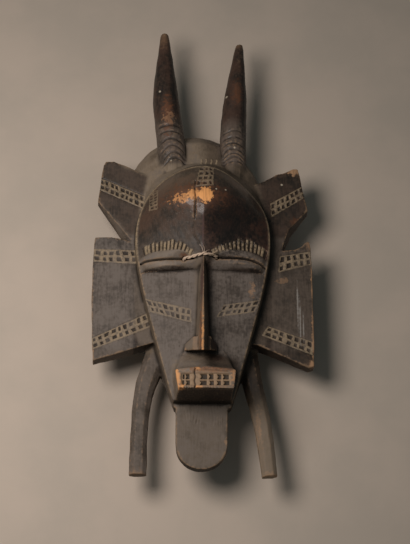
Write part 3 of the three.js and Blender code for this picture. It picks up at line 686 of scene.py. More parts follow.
# %% Let the eyelids run out towards the temples
# The side, where the run-out starts, where it is deepest, and how deep it is there. Past the
# lid's end the surface is as on the solid again.
LID_RUN_OUTS = [(-1, 27, 38, 2.4), (1, 32, 42, 1.4)]
LID_FULL_X, LID_END_X = 42, 46

on_lid = eased(y, -28.8, -32.2) * (y > -33.8) * (z > 52)
for side, start, deepest, fall in LID_RUN_OUTS:
    along_lid = eased(side * x, start, deepest) * eased(side * x, LID_END_X, LID_FULL_X)
    z -= fall * on_lid * along_lid
print("lids", len(LID_RUN_OUTS))

# %% Cracks, and the lines under the eyelids
# The route of each, half its width, its depth, and how dark it is.
CRACKS = {
    "long crack": (
        [(-6.4, 28), (-6.7, 18), (-6.1, 12), (-6.5, 5), (-6.3, -2)], 0.42, 1.5, 1),
    "end of the crack": (
        [(-6.3, -2), (-7.6, -7), (-6.6, -12), (-3.6, -17), (-1, -22)], 0.25, 0.5, 0.5),
    "under the left lid": (
        [(-45.5, -33.7), (-37, -34.1), (-27, -34.3), (-16, -34.1), (-7.5, -33.6)], 0.45, 0.8, 1),
    "under the right lid": (
        [(7.5, -34.1), (21, -33.7), (34, -33.8), (43, -34.5)], 0.28, 0.4, 0.6),
}

for line, half, crack_depth, crack_dark in CRACKS.values():
    uneven = from_line(surface, line) + 0.2 * wobble(surface, 5, 3)
    open_share = eased(uneven, half * 1.7, half * 0.4) * (z > 52) * shows
    surface -= way * (crack_depth * open_share)[:, None]
    dark = np.maximum(dark, crack_dark * open_share)
print("cracks and lines", len(CRACKS))

# %% Chips
# The middle of each chip, and how far it reaches. It is about a third as deep.
CHIPS = [
    ((75.5, 61.5, 39.5), 3.4), ((69.5, 62.5, 39.5), 2.6), ((79.6, 0.8, 38.5), 2.2),
    ((17.9, -157.4, 42), 1.9), ((80.6, -100.2, 38.5), 2.0), ((62, 59.5, 40), 1.6),
    ((-73, 66, 38), 1.8), ((81, -60, 38), 1.2),
]
CHIP_DEPTH = 0.35

for middle, reach in CHIPS:
    away = np.linalg.norm(surface - middle, axis=1) + 0.35 * wobble(surface, 3, 8)
    surface -= way * (CHIP_DEPTH * reach * eased(away, reach, 0))[:, None]
print("deepest chip", round(CHIP_DEPTH * max(reach for _, reach in CHIPS), 2), "mm")

# %% The unevenness of the knife, and the adze's strokes on the tab
TAB_TOP_Y = -128

knife = 0.17 * wobble(surface, 19, 1) + 0.11 * wobble(surface, 6.5, 2)
knife += 0.035 * wobble(surface, 2.8, 9)
adze = 0.16 * np.sin(x * 3.3 + 2 * wobble(surface, 9, 6)) * eased(wobble(surface, 8, 5), -0.1, 0.5)
knife += (y < TAB_TOP_Y) * adze * eased(np.abs(x), 18, 15) * eased(y, -156, -140)
surface += way * ((1 - np.clip(dark + dusty, 0, 1)) * knife)[:, None]
print("knife", round(float(np.abs(knife).max()), 2), "mm at most")

# %% Keep within the solid's box
low_corner, high_corner = [np.array(corner) / MM for corner in solid_box]
outside = np.abs(surface - np.clip(surface, low_corner, high_corner)).max()
surface[:] = np.clip(surface, low_corner, high_corner)
z[z < 0.3] = 0
put(carving, surface)
print("brought back by", round(float(outside), 2), "mm")

# %% [markdown]
# ## Measuring the wear
#
# Hands and cloths rub what stands out, and what lies deep is darker: dirt gathers there, and
# painted shade is laid there too. How far a place stands out is measured by comparing it with
# the mean of its surroundings. Later it is stored on the mesh as a colour attribute, with the
# dust on the walls, the dark of the pits and the painted shade under down-turned sides beside
# it, so that the patina can read all of them.

# %% How far each place stands out from its surroundings
NEAR, FAR = 12, 40
FULL_WEAR, FULL_GRIME_AND_SHADE = 0.30, 0.55


def averaged(values, edges, times):
    """The values after each place has taken the mean of its neighbours, again and again."""
    first, second = edges.T
    count = len(values)
    shares = np.bincount(first, minlength=count) + np.bincount(second, minlength=count)
    shares = np.maximum(shares, 1)
    result = values.copy()
    for _ in range(times):
        for axis in range(values.shape[1]):
            column = result[:, axis]
            total = np.bincount(first, column[second], count)
            total += np.bincount(second, column[first], count)
            result[:, axis] = 0.5 * column + 0.5 * total / shares
    return result


surface, way = places(carving), facing(carving)
edges = numbers(carving.data.edges, "vertices", 2, np.int32)
near = averaged(surface, edges, NEAR)
far = averaged(near, edges, FAR)
edge_wear = np.clip(np.einsum("ij,ij->i", surface - near, way) / FULL_WEAR, 0, 1)
# Darker where a place lies deeper than its surroundings: grime, and painted shade in creases.
grime_and_shade = np.clip(np.einsum("ij,ij->i", far - near, way) / FULL_GRIME_AND_SHADE, 0, 1)
print("worn", int((edge_wear > 0.5).sum()), "places; grimy and shaded", int((grime_and_shade > 0.5).sum()))

# %% [markdown]
# ## Where each finish lies
#
# The mask hasn't aged evenly. Grey dust has settled on the cheeks and flaps, the cap, the tab
# and the right leg have faded to a light brown, and hands have kept the forehead and the horns
# dark and glossy. Sides that turn down get neither dust nor fading, and a dark share is laid on
# them: this is painted shade under them. The right side of most parts gets less dust and fading
# than the left, which is painted shade on the side turned from the lamp. Each part of the mask
# gets its share of dust, of fading and of polish, and the shares are then averaged a little, so
# that no border shows.

# %% Name the parts of the mask at each place
# Each part is given by its limits in millimetres, and a later part lies over an earlier one.
x, y, z = surface.T
out, across, up = np.abs(x), share_to_rim(x, y), way[:, 2]
on_horns = np.zeros(len(surface), bool)
for horn in HORNS.values():
    away, radius, _ = horn_shares(surface, horn)
    on_horns |= (away < radius + 1.0) & (y > 60)
face = (across < 1) & (z > 44)
above_eyes = face & (y > brow_line(x) + 2)
near_mouth = np.abs(x - 1) < 24
inside_hollow = (out < 40) & (z < 38) & between(y, -90, 75)
parts = {
    "side wall": (across < 1.35) & (y < 45),
    "cap": (across >= 1) & (y > 20) & (out < 62),
    "wing": (out > 47 - 0.2 * (y - 20)) & between(y, -9, 52 + 0.5 * (out - 42)) & (z > 22),
    "wing bevel": (x < -45) & between(y, -9, 30) & (z > 26) & between(up, 0.2, 0.9)
                  & (way[:, 1] < -0.2),
    "flap": (out > 50) & between(y, -104, 2),
    "leg": (out > 25) & (y < -88) & (z < 41),
    "tab": (out < 20.5) & (y < -127) & (z < 50),
    "cheek": face & (y < -32),
    "eyes": face & (y >= -32) & ~above_eyes,
    "forehead": above_eyes,
    "muzzle": near_mouth & (y < -101) & (z > 50),
    "mouth": near_mouth & (y < -116) & (z > 76),
    "nose": (out < 6 + 8 * eased(y, -84, -90)) & between(y, -106, -26) & (z > 57),
    "horn": on_horns,
    "back": (z < 12) | ((up < -0.35) & (y > -112)) | inside_hollow,
}
print("parts", {name: int(there.sum()) for name, there in parts.items()})

# %% Give each part its dust, its fading and its polish
# Dust, fading and polish, each on the left side and on the right side. Dust and fading are mostly
# lower on the right, which paints the shade of the side turned from the lamp over the real dust
# and fading.
FINISHES_AND_SHADE = {
    "side wall": ((0.45, 0.15), (0.30, 0.15), (0.0, 0.0)),
    "cap": ((0.60, 0.10), (1.00, 0.30), (0.0, 0.1)),
    "wing": ((0.12, 0.04), (0.08, 0.05), (0.2, 0.3)),
    "wing bevel": ((0.90, 0.90), (0.45, 0.45), (0.0, 0.0)),
    "flap": ((0.90, 0.30), (0.12, 0.14), (0.0, 0.1)),
    "leg": ((0.60, 0.40), (0.20, 0.80), (0.1, 0.0)),
    "tab": ((0.65, 0.60), (0.42, 0.42), (0.0, 0.0)),
    "cheek": ((1.00, 0.78), (0.18, 0.08), (0.0, 0.0)),
    "eyes": ((1.00, 0.75), (0.70, 0.20), (0.0, 0.1)),
    "forehead": ((0.03, 0.0), (0.10, 0.0), (0.95, 1.0)),
    "muzzle": ((0.95, 0.10), (0.75, 0.10), (0.0, 0.1)),
    "mouth": ((0.60, 0.50), (0.55, 0.45), (0.0, 0.0)),
    "nose": ((0.50, 0.0), (0.60, 0.0), (0.2, 0.2)),
    "horn": ((0.05, 0.05), (0.03, 0.03), (0.8, 0.8)),
    "back": ((0.15, 0.15), (0.45, 0.45), (0.0, 0.0)),
}

# The right side, turned from the lamp, gets lower shares, which paints the shade there.
to_right = eased(x, -6, 6)
finish_and_shade = np.zeros((len(surface), 3))
for name, there in parts.items():
    for channel, (left, right) in enumerate(FINISHES_AND_SHADE[name]):
        finish_and_shade[there, channel] = (left + (right - left) * to_right)[there]
print("parts with a finish", len(FINISHES_AND_SHADE))

# %% The finish where it isn't even
# The horns' roots and the haze over the brows are dusty, and the crown has faded. The top of the
# right leg loses dust and fading, which paints the shadow that falls on it. Sides that turn down
# lose both, apart from the lit ones, which paints the shade under them.
dust, fading, polish = finish_and_shade.T
horn_root = eased(y, 104, 88) * parts["horn"]
dust += 0.45 * horn_root
fading += 0.12 * horn_root
over_brow = eased(y, brow_line(x) + 24, brow_line(x) + 6)
haze = over_brow * parts["forehead"] * (1 - 0.7 * to_right)
dust += 0.2 * haze
polish *= 1 - haze
# Painted shadow on the top of the right leg.
shaded_leg_top = parts["leg"] * (x > 0) * eased(y, -142, -112)
finish_and_shade[:, :2] *= (1 - 0.9 * shaded_leg_top)[:, None]
fading += 0.13 * eased(y, 14, 34) * parts["forehead"]
# Sides that turn down are painted darker, as shade, apart from the lit ones.
kept_light = parts["leg"] | parts["eyes"] | parts["wing bevel"] | (z >= 78)
turned_down = eased(way[:, 1], -0.45, -0.8) * (up < 0.6) * ~kept_light
finish_and_shade[:, :2] *= (1 - 0.9 * turned_down)[:, None]
dust *= 0.55 + 0.45 * eased(up, -0.1, 0.7)
# Painted shade under the sides that turn down, laid on with the dark of the hollows.
painted_underside_shade = 0.9 * eased(way[:, 1], -0.6, -0.9) * eased(up, 0.6, 0.3) * ~parts["leg"] * (z < 50)
finish_and_shade = np.clip(averaged(finish_and_shade, edges, 14), 0, 1)
grime_and_shade *= 1 - 0.7 * parts["muzzle"] * (x < 0) * (z < 77)
print("mean dust, fading, polish", np.round(finish_and_shade.mean(axis=0), 2))

# %% Store the wear and painted shade, and the finish, and thin out the skin
MOST_TRIANGLES = 196000


def store(piece, name, *channels):
    """Stores three values at each place as a colour attribute."""
    layer = piece.data.color_attributes.new(name=name, type="FLOAT_COLOR", domain="POINT")
    packed = np.column_stack([*channels, np.ones(len(channels[0]))])
    layer.data.foreach_set("color", packed.astype(np.float32).ravel())


# The dark of the hollows and the pits, and the painted shade under down-turned sides.
deep = np.maximum.reduce([grime_and_shade, dark, painted_underside_shade])
store(carving, "wear", edge_wear, deep, np.clip(dusty, 0, 1))
store(carving, "finish_and_shade", *finish_and_shade.T)
triangles = sum(len(face.vertices) - 2 for face in carving.data.polygons)
apply_new_modifier(carving, "DECIMATE", ratio=MOST_TRIANGLES / triangles)
put(carving, np.clip(places(carving), low_corner, high_corner))
bpy.ops.object.shade_smooth()
print("thinned from", triangles, "to", len(carving.data.polygons), "triangles")

# %% [markdown]
# ## The cord
#
# A thin cord of two twisted strands runs through the eye slits and over the bridge of the nose.
# It follows the route of the solid's cord. Each strand winds round that route, so the twist is
# real geometry and catches the light as it turns. Loose fibres stand up from the bridge.

# %% The route of the cord
CORD_LEFT = [
    (-4, -26.6, 68.6), (-9, -27, 65.7), (-12.4, -27, 64.1), (-13.7, -27, 61.2), (-13.8, -27, 55),
    (-13.8, -27, 48), (-13.8, -27, 41), (-12, -28.8, 34), (-7.5, -32, 28.5), (-1.2, -33, 26),
]
CORD_RIGHT = [
    (0.4, -26.2, 70.3), (4, -26, 68.9), (7.4, -25.9, 67.5), (9.4, -25.9, 64.9), (9.6, -25.9, 58),
    (9.6, -25.9, 50), (9.6, -25.9, 41), (8.6, -28.4, 34), (5.6, -32, 28), (1.2, -33, 26),
]
STRAND, TWIST, ROUTE_STEP = 0.7, 8.4, 0.35


def tube(name, line, radius):
    """A round tube along a line, tapered where the radius is a list."""
    curve = bpy.data.curves.new(name, "CURVE")
    curve.dimensions = "3D"
    curve.bevel_depth = MM
    curve.bevel_resolution = 2
    curve.use_fill_caps = True
    spline = curve.splines.new("POLY")
    spline.points.add(len(line) - 1)
    for point, place, size in zip(spline.points, line, np.broadcast_to(radius, len(line))):
        point.co = (*(np.array(place) * MM), 1)
        point.radius = size
    piece = bpy.data.objects.new(name, curve)
    bpy.context.scene.collection.objects.link(piece)
    work_on(piece)
    bpy.ops.object.convert(target="MESH")
    return bpy.context.object


route, cord_length = smooth_route(CORD_LEFT[::-1] + CORD_RIGHT, ROUTE_STEP)
print("cord", round(cord_length, 1), "mm of two strands")

# %% Twist the strands
# The strands lie less than a radius from the route, so they press into each other a little.
OFF_ROUTE = 0.78 * STRAND

along = np.gradient(route, axis=0)
along /= np.linalg.norm(along, axis=1)[:, None]
beside = np.cross(along, (0, 1, 0.2))
beside /= np.linalg.norm(beside, axis=1)[:, None]
lift = np.cross(beside, along)
turns = 2 * math.pi * np.arange(len(route)) * ROUTE_STEP / TWIST
spread = OFF_ROUTE * (1 + 0.25 * np.sin(route[:, 0] * 0.9))

cord_pieces = []
for start in (0, math.pi):
    offset = np.cos(turns + start)[:, None] * beside + np.sin(turns + start)[:, None] * lift
    cord_pieces.append(tube("cord_strand", route + offset * spread[:, None], STRAND))
print("twists", round(turns[-1] / (2 * math.pi), 1))

# %% The knot inside, and the loose fibres on the bridge
KNOT_MIDDLE, KNOT_HALF, KNOT_STRAND = np.array((0, -33, 26.0)), 1.6, 0.8
FIBRES = [
    [(-0.2, -25.6, 71.0), (-1.2, -22.6, 71.6), (-3.0, -19.4, 71.6)],
    [(0.4, -25.6, 71.0), (0.5, -22.8, 71.6), (-0.4, -20.4, 72.0)],
    [(0.9, -25.7, 70.8), (2.8, -24.2, 71.2), (4.4, -23.6, 70.6)],
]
LOOSE_END = [(3.2, -26.4, 69.9), (6.2, -26.1, 69.4), (8.2, -24.9, 69.3), (10.1, -23.5, 69.0)]

turn = np.linspace(0, 4 * math.pi, 60)[:31]
knot = np.column_stack([
    np.sin(turn) + 2 * np.sin(2 * turn), np.cos(turn) - 2 * np.cos(2 * turn), -np.sin(3 * turn)])
cord_pieces.append(tube("knot", knot / 3 * KNOT_HALF + KNOT_MIDDLE, KNOT_STRAND))
thin_ends = [("fibre", fibre, 0.16, 0.07) for fibre in FIBRES]
for name, points, thick, thin in thin_ends + [("loose_end", LOOSE_END, 0.6, 0.42)]:
    line, _ = smooth_route(points, 0.4)
    cord_pieces.append(tube(name, line, np.linspace(thick, thin, len(line))))

work_on(cord_pieces[0])
for piece in cord_pieces:
    piece.select_set(True)
bpy.ops.object.join()
cord = bpy.context.object
cord.name = "twisted_cord"
bpy.ops.object.shade_smooth()
print("cord", len(cord.data.polygons), "faces")

# %% [markdown]
# ## The finishes
#
# The wood is stained nearly black. The forehead and the horns are polished by hands, the cheeks
# and flaps carry a grey film of dust, and the edges, the nose and a patch on the forehead are
# rubbed down to bare orange wood. Each effect is a mask, and the masks lay one colour over
# another, from the stain upwards. Two effects are used again and again, so they are node
# groups: a ragged patch at a place, and the grain.
#
# A value in a node tree is wrapped so that it can be added and multiplied like a number. Each
# sum then adds the node that works it out, to the tree that is in hand at that time.

# %% Values that can be added and multiplied
class Value:
    """An output socket that changes over the surface. Sums with it add nodes to the tree."""

    def __init__(self, socket):
        self.socket = socket

    def __add__(self, other):
        return maths("ADD", self, other)

    def __sub__(self, other):
        return maths("SUBTRACT", self, other)

    def __rsub__(self, other):
        return maths("SUBTRACT", other, self)

    def __mul__(self, other):
        return maths("MULTIPLY", self, other)


def fill(node, **values):
    """Sets or links a node's inputs by name; _0 stands for the first input, and so on."""
    for name, value in values.items():
        socket = node.inputs[int(name[1:]) if name[0] == "_" else name.replace("_", " ")]
        if isinstance(value, Value):
            tree.links.new(value.socket, socket)
        else:
            socket.default_value = (*value, 1) if socket.type == "RGBA" else value
    return node


def add(kind, operation=None, output=0, **values):
    """Adds a node, fills its inputs, and gives back one of its outputs."""
    node = tree.nodes.new("ShaderNode" + kind)
    if operation:
        node.operation = operation
    return Value(fill(node, **values).outputs[output])


def maths(operation, first, second):
    """One step of arithmetic on two values or numbers."""
    return add("Math", operation, _0=first, _1=second)


# %% Helpers for masks and colours
def ramp(value, low, high, to_low=0.0, to_high=1.0):
    """A value brought from low..high to to_low..to_high, with soft ends and no overshoot."""
    node = tree.nodes.new("ShaderNodeMapRange")
    node.interpolation_type = "SMOOTHSTEP"
    return Value(fill(node, _0=value, _1=low, _2=high, _3=to_low, _4=to_high).outputs[0])


def lay_over(under, over, mask):
    """Lays one colour over another where the mask is 1."""
    node = tree.nodes.new("ShaderNodeMix")
    node.data_type = "RGBA"
    return Value(fill(node, _0=mask, _6=under, _7=over).outputs[2])


def noise(place, scale, detail, roughness):
    """A cloudy noise; the scale is how many of its lumps fit in a millimetre."""
    return add("TexNoise", output="Fac", Vector=place, Scale=scale, Detail=detail,
               Roughness=roughness)


def strongest(masks):
    """The strongest of several masks at each place."""
    most = masks[0]
    for mask in masks[1:]:
        most = maths("MAXIMUM", most, mask)
    return most


def new_group(name, inputs, outputs):
    """An empty node group, its inputs by name, and the node that takes its outputs."""
    group = bpy.data.node_groups.new(name, "ShaderNodeTree")
    for socket_name, value in inputs.items():
        kind = "NodeSocketVector" if isinstance(value, tuple) else "NodeSocketFloat"
        socket = group.interface.new_socket(socket_name, in_out="INPUT", socket_type=kind)
        socket.default_value = value
    for socket_name in outputs:
        group.interface.new_socket(socket_name, in_out="OUTPUT", socket_type="NodeSocketFloat")
    given = {socket.name: Value(socket) for socket in group.nodes.new("NodeGroupInput").outputs}
    return group, given, group.nodes.new("NodeGroupOutput")


def use_group(group, **values):
    """Adds a node group to the tree, fills its inputs and gives back its outputs."""
    node = tree.nodes.new("ShaderNodeGroup")
    node.node_tree = group
    return [Value(socket) for socket in fill(node, **values).outputs]


# %% Group: a ragged patch at a place
tree, given, result = new_group(
    "ragged_patch", {"Place": (0, 0, 0), "Middle": (0, 0, 0), "Reach": (10, 10, 10),
                     "Ragged": 0.5, "Soft": 0.2, "Noise": 0.5}, ["Mask"])
off = add("VectorMath", "SUBTRACT", _0=given["Place"], _1=given["Middle"])
scaled = add("VectorMath", "DIVIDE", _0=off, _1=given["Reach"])
distance = add("VectorMath", "LENGTH", "Value", _0=scaled)
distance += (given["Noise"] - 0.5) * given["Ragged"]
fill(result, Mask=ramp(distance, given["Soft"] + 1.0, 1.0 - given["Soft"]))
patch_group = tree
print("ragged patch", len(tree.nodes), "nodes")

# %% Group: wood grain
# The streaks are noise that is stretched along the wood, and the pores are finer streaks.
PORES_FINER, BLOTCH_SCALE = (2.6, 2.0, 2.6), 0.07

tree, given, result = new_group(
    "wood_grain", {"Place": (0, 0, 0), "Across": 1.0, "Along": 14.0},
    ["Streaks", "Pores", "Blotches"])
sideways = maths("DIVIDE", 1.0, given["Across"])
lengthways = maths("DIVIDE", 1.0, given["Along"])
stretch = add("CombineXYZ", X=sideways, Y=lengthways, Z=sideways)
streaked = add("VectorMath", "MULTIPLY", _0=given["Place"], _1=stretch)
fine = add("VectorMath", "MULTIPLY", _0=streaked, _1=PORES_FINER)
fill(result, Streaks=noise(streaked, 1.0, 4.0, 0.6), Pores=noise(fine, 1.0, 2.0, 0.7),
     Blotches=noise(given["Place"], BLOTCH_SCALE, 5.0, 0.62))
grain_group = tree
print("wood grain", len(tree.nodes), "nodes")

# %% [markdown]
# ## The patina
#
# The order is the order in time: stain, fading, the film of dust, grime in the hollows with
# painted shade laid in them and under down-turned sides, and last the bare wood where edges and
# bumps were knocked or rubbed through.

# %% The stained wood and what it reads
def new_material(name):
    """An empty material, its node tree, its shader, and each place in millimetres."""
    material = bpy.data.materials.new(name)
    material.use_nodes = True
    nodes, links = material.node_tree.nodes, material.node_tree.links
    scaled = nodes.new("ShaderNodeVectorMath")
    scaled.operation = "SCALE"
    scaled.inputs["Scale"].default_value = 1 / MM
    links.new(nodes.new("ShaderNodeTexCoord").outputs["Object"], scaled.inputs[0])
    return material, material.node_tree, nodes["Principled BSDF"], Value(scaled.outputs[0])


def read_shares(name):
    """The three values of a stored colour attribute."""
    stored, parts = [tree.nodes.new("ShaderNode" + kind) for kind in ("Attribute", "SeparateColor")]
    stored.attribute_name = name
    tree.links.new(stored.outputs["Color"], parts.inputs["Color"])
    return [Value(part) for part in parts.outputs]


wood, tree, shader, place = new_material("stained_wood")
# The wear's second share is the dark of hollows and pits, with painted shade in it.
edge, deep, dust_wall = read_shares("wear")
dust, fading, polish = read_shares("finish_and_shade")
streaks, pores, blotches = use_group(grain_group, Place=place, Across=1.1, Along=15.0)
mottle, speckle = noise(place, 0.42, 3.0, 0.6), noise(place, 1.1, 2.0, 0.5)
clumps = ramp(mottle, 0.30, 0.70)
print("what the stain reads", len(tree.nodes), "nodes")

# %% Stain, fading, dust, and grime with painted shade
STAIN_DARK, STAIN_LIGHT = (0.009, 0.0058, 0.0045), (0.042, 0.024, 0.015)
RED_STAIN, FADED = (0.056, 0.018, 0.009), (0.265, 0.190, 0.122)
DUST_FILM, GRIME_AND_SHADE = (0.152, 0.122, 0.102), (0.016, 0.010, 0.006)

stain_share = streaks * 0.55 + blotches * 0.6 + (clumps - 0.5) * 0.22
colour = lay_over(STAIN_DARK, STAIN_LIGHT, ramp(stain_share, 0.36, 0.80))
colour = lay_over(colour, RED_STAIN, polish * ramp(blotches, 0.38, 0.62) * 0.6)
faded = fading * ramp(blotches + streaks * 0.5, 0.45, 0.85, 0.55, 1.1)
colour = lay_over(colour, FADED, faded)
film_noise = blotches * 0.6 + (mottle + streaks * 0.8) * 0.37
film = dust * ramp(film_noise, 0.50, 0.76, 0.34, 1.14)
colour = lay_over(colour, DUST_FILM, film)
# Grime in the hollows and pits, with painted shade in creases and under down-turned sides.
colour = lay_over(colour, GRIME_AND_SHADE, ramp(deep, 0.15, 0.9) * 0.85)
print("and with stain, fading, dust and grime", len(tree.nodes), "nodes")

# %% Worn edges and dusty walls
EDGE_BARE, WALL_DUST = (0.27, 0.165, 0.092), (0.325, 0.235, 0.145)

colour = lay_over(colour, EDGE_BARE, ramp(edge + (clumps - 0.5) * 0.7, 0.40, 1.05) * 0.6)
walls = dust_wall * ramp(mottle + speckle * 0.7, 0.62, 1.0, 0.35, 1.0)
colour = lay_over(colour, WALL_DUST, walls)
print("and with edges and walls", len(tree.nodes), "nodes")

# %% Patches of other tones
# Each tone has its patches: the middle, reach, raggedness, softness and strength of each. They
# are laid on in this order, so the fresh bare wood comes last.
TONES = {
    "black": (0.006, 0.005, 0.004), "reddish": (0.150, 0.058, 0.026), "tan": (0.42, 0.235, 0.125),
    "fresh": (0.80, 0.36, 0.125), "pale": (0.275, 0.215, 0.170),
}
PATCHES = {
    # Painted highlights: the lit eyelid and the strip over it, the left of the muzzle and the left
    # lip.
    "pale": {
        "painted highlight on the left eyelid": ((-32, -30.8, 61), (13, 2.6, 6), 0.6, 0.4, 0.55),
        "painted highlight over the left eye": ((-30, -22.5, 64), (15, 2.6, 6), 0.8, 0.5, 0.25),
        "painted light above the mouth": ((-12.9, -110.2, 70), (7, 6, 9), 0.8, 0.6, 0.35),
        "painted highlight on the left lip": ((-11.5, -119.2, 79), (7, 2.2, 3), 0.8, 0.4, 0.55),
    },
    "black": {
        "top of the left flap": ((-67, -3.5, 36), (14, 4.5, 6), 0.6, 0.5, 0.35),
        # Painted shade on the sides turned from the lamp: right of the keel, and each horn's right
        # side.
        "painted shade right of the keel": ((26, -4, 74), (25, 22, 16), 0.6, 0.3, 0.75),
        "painted shade on the left horn's right side": ((-22.3, 130, 36), (3.6, 50, 12), 0.5, 0.4, 0.9),
        "painted shade on the right horn's right side": ((33.0, 118, 36), (4.5, 44, 12), 0.5, 0.5, 0.85),
    },
    "reddish": {
        # Around the blob the reddish tone is worn stain and a painted sheen together.
        "worn stain and painted sheen around the blob": ((-9, 16, 80), (23, 9, 12), 1.0, 0.5, 0.55),
        "front of the nose": ((-2.2, -82, 77.0), (1.7, 27, 6), 1.0, 0.5, 0.8),
        "left horn, low": ((-27.0, 103, 46), (3.4, 15, 6), 1.3, 0.5, 0.8),
        "right horn, middle": ((26.5, 124, 44), (3.4, 9, 6), 1.0, 0.6, 0.7),
        "upper lip": ((5.0, -118.6, 78.8), (15, 2.2, 3), 0.8, 0.4, 0.8),
        "beside the cord": ((-14.4, -25.6, 66), (3.6, 1.8, 4), 0.6, 0.4, 0.8),
        "below the right wing's band": ((69.5, 15.8, 38.8), (3.6, 3.2, 3), 0.8, 0.5, 0.5),
    },
    "tan": {
        "the whole mouth": ((1.5, -126, 78.6), (21, 8.2, 1.6), 0.6, 0.3, 0.36),
        "side of the nose": ((-5.0, -92, 73.0), (2.6, 13, 8), 0.8, 0.5, 0.3),
        "ridge of the nose, high": ((-0.8, -70, 77), (0.8, 22, 7), 1.2, 0.4, 0.45),
        "outer edge of the left leg": ((-50.9, -155, 40), (1.0, 26, 5), 1.3, 0.5, 0.6),
        "right leg, flecks": ((39.5, -146, 38), (2.6, 11, 6), 1.6, 0.5, 0.35),
        "foot of the right leg": ((48.5, -181, 38), (7, 3.0, 6), 1.2, 0.5, 0.35),
        "foot of the left leg": ((-48.5, -180, 38), (7, 3.0, 6), 1.2, 0.5, 0.3),
        "chip on the right wing": ((68.6, 58.0, 39.5), (4.0, 3.4, 5), 0.8, 0.25, 0.95),
        "corner of the right flap": ((79.0, -2.2, 38), (2.0, 4.6, 5), 0.8, 0.4, 0.45),
        "edge of the right flap, high": ((80.6, -34, 38), (0.9, 14, 5), 1.2, 0.4, 0.9),
        "edge of the right flap, low": ((80.6, -82, 38), (1.2, 20, 5), 1.4, 0.5, 0.8),
        "foot of the right flap": ((78.8, -98.0, 37.6), (2.6, 2.4, 5), 0.8, 0.4, 0.9),
        "foot of the left flap": ((-79.6, -92, 36), (1.4, 5.4, 5), 0.8, 0.4, 0.8),
        "outer end of the right cheek": ((35.4, -47, 53.3), (2.0, 3.6, 4), 1.6, 0.5, 0.6),
        "streak on the right flap": ((59.0, -32.6, 39.7), (3.6, 1.8, 3), 1.8, 0.4, 0.36),
        "left horn, flecks": ((-26.2, 100, 46), (3.4, 5.0, 6), 1.9, 0.3, 0.4),
        "tip of the left horn": ((-30.4, 178, 37), (3.2, 12, 8), 1.0, 0.6, 0.3),
        "tip of the right horn": ((28.0, 171, 37), (3.6, 4, 8), 0.8, 0.6, 0.3),
        "left nostril": ((-13.6, -97, 61.5), (1.6, 1.6, 3), 0.4, 0.4, 0.6),
        "lower edge of the tab": ((17.2, -158.4, 41), (1.6, 2.4, 3), 0.8, 0.4, 0.5),
    },
    "fresh": {
        "blob on the forehead": ((1.2, 15.2, 82.5), (5.4, 6.6, 8), 0.45, 0.10, 1.0),
        "smear beside it": ((-7.4, 15.4, 80.5), (5.0, 4.2, 9), 1.0, 0.3, 0.85),
        "flecks beyond": ((-15.5, 13.6, 78.5), (6.5, 3.0, 9), 1.9, 0.25, 0.6),
        "ridge of the nose": ((-0.7, -92, 80.0), (0.72, 17, 7), 1.3, 0.35, 0.58),
        "left end of the mouth": ((-18.2, -126, 78), (2.1, 8.0, 4), 0.8, 0.25, 0.75),
        "lower left of the mouth": ((-15.6, -132, 78), (3.0, 2.0, 4), 0.8, 0.3, 0.7),
        "right end of the mouth": ((20.8, -123, 78), (1.6, 5.0, 4), 1.4, 0.5, 0.3),
        "lower lip by the crack": ((-3.6, -132.0, 78.8), (2.0, 1.4, 3), 0.8, 0.4, 0.6),
        "upper lip by the crack": ((-4.2, -118.6, 78.8), (2.6, 1.3, 3), 0.8, 0.4, 0.5),
    },
}


def patch(middle, reach, ragged, soft, clouds):
    """A mask for a ragged patch at a place in millimetres."""
    return use_group(patch_group, Place=place, Middle=middle, Reach=reach, Ragged=ragged,
                     Soft=soft, Noise=clouds)[0]


out_of_pits = 1.0 - deep * 0.9
grain_share = ramp(streaks, 0.40, 0.68, 1.0, 0.62)
for tone, patches in PATCHES.items():
    toned = strongest([patch(middle, reach, ragged, soft, clumps) * strength
                       for middle, reach, ragged, soft, strength in patches.values()])
    colour = lay_over(colour, TONES[tone], toned * out_of_pits * grain_share)
    print(tone, "patches", len(patches))
fresh = toned

# %% Pale specks, a painted highlight, scratches and a reddish streak
PALE_MARK, SCRATCH, DARK_RED = (0.42, 0.34, 0.25), (0.27, 0.235, 0.205), (0.085, 0.040, 0.034)
SPECKS_AND_GLINT = [
    # The third speck, at the root of the left horn, is a painted highlight.
    ((-32.9, 123.4, 43.9), 0.9), ((18.7, 121.1, 40.2), 1.1), ((-24.0, 62.9, 46.1), 0.9),
    ((17.9, -157.4, 42), 1.0), ((59.5, 46.2, 39.6), 0.8), ((24.0, 74.5, 45.6), 0.7),
    ((8.9, 20.4, 81), 0.6), ((15.8, 21.0, 79), 0.7), ((-28.4, -8.5, 71.5), 0.7),
    ((-31.5, -2.0, 70.5), 0.5),
]
SCRATCHES = [
    ((69.4, -52, 38.8), (0.55, 15, 3)), ((71.0, -64, 38.7), (0.5, 14, 3)),
    ((73.2, -70, 38.6), (0.45, 9, 3)),
]

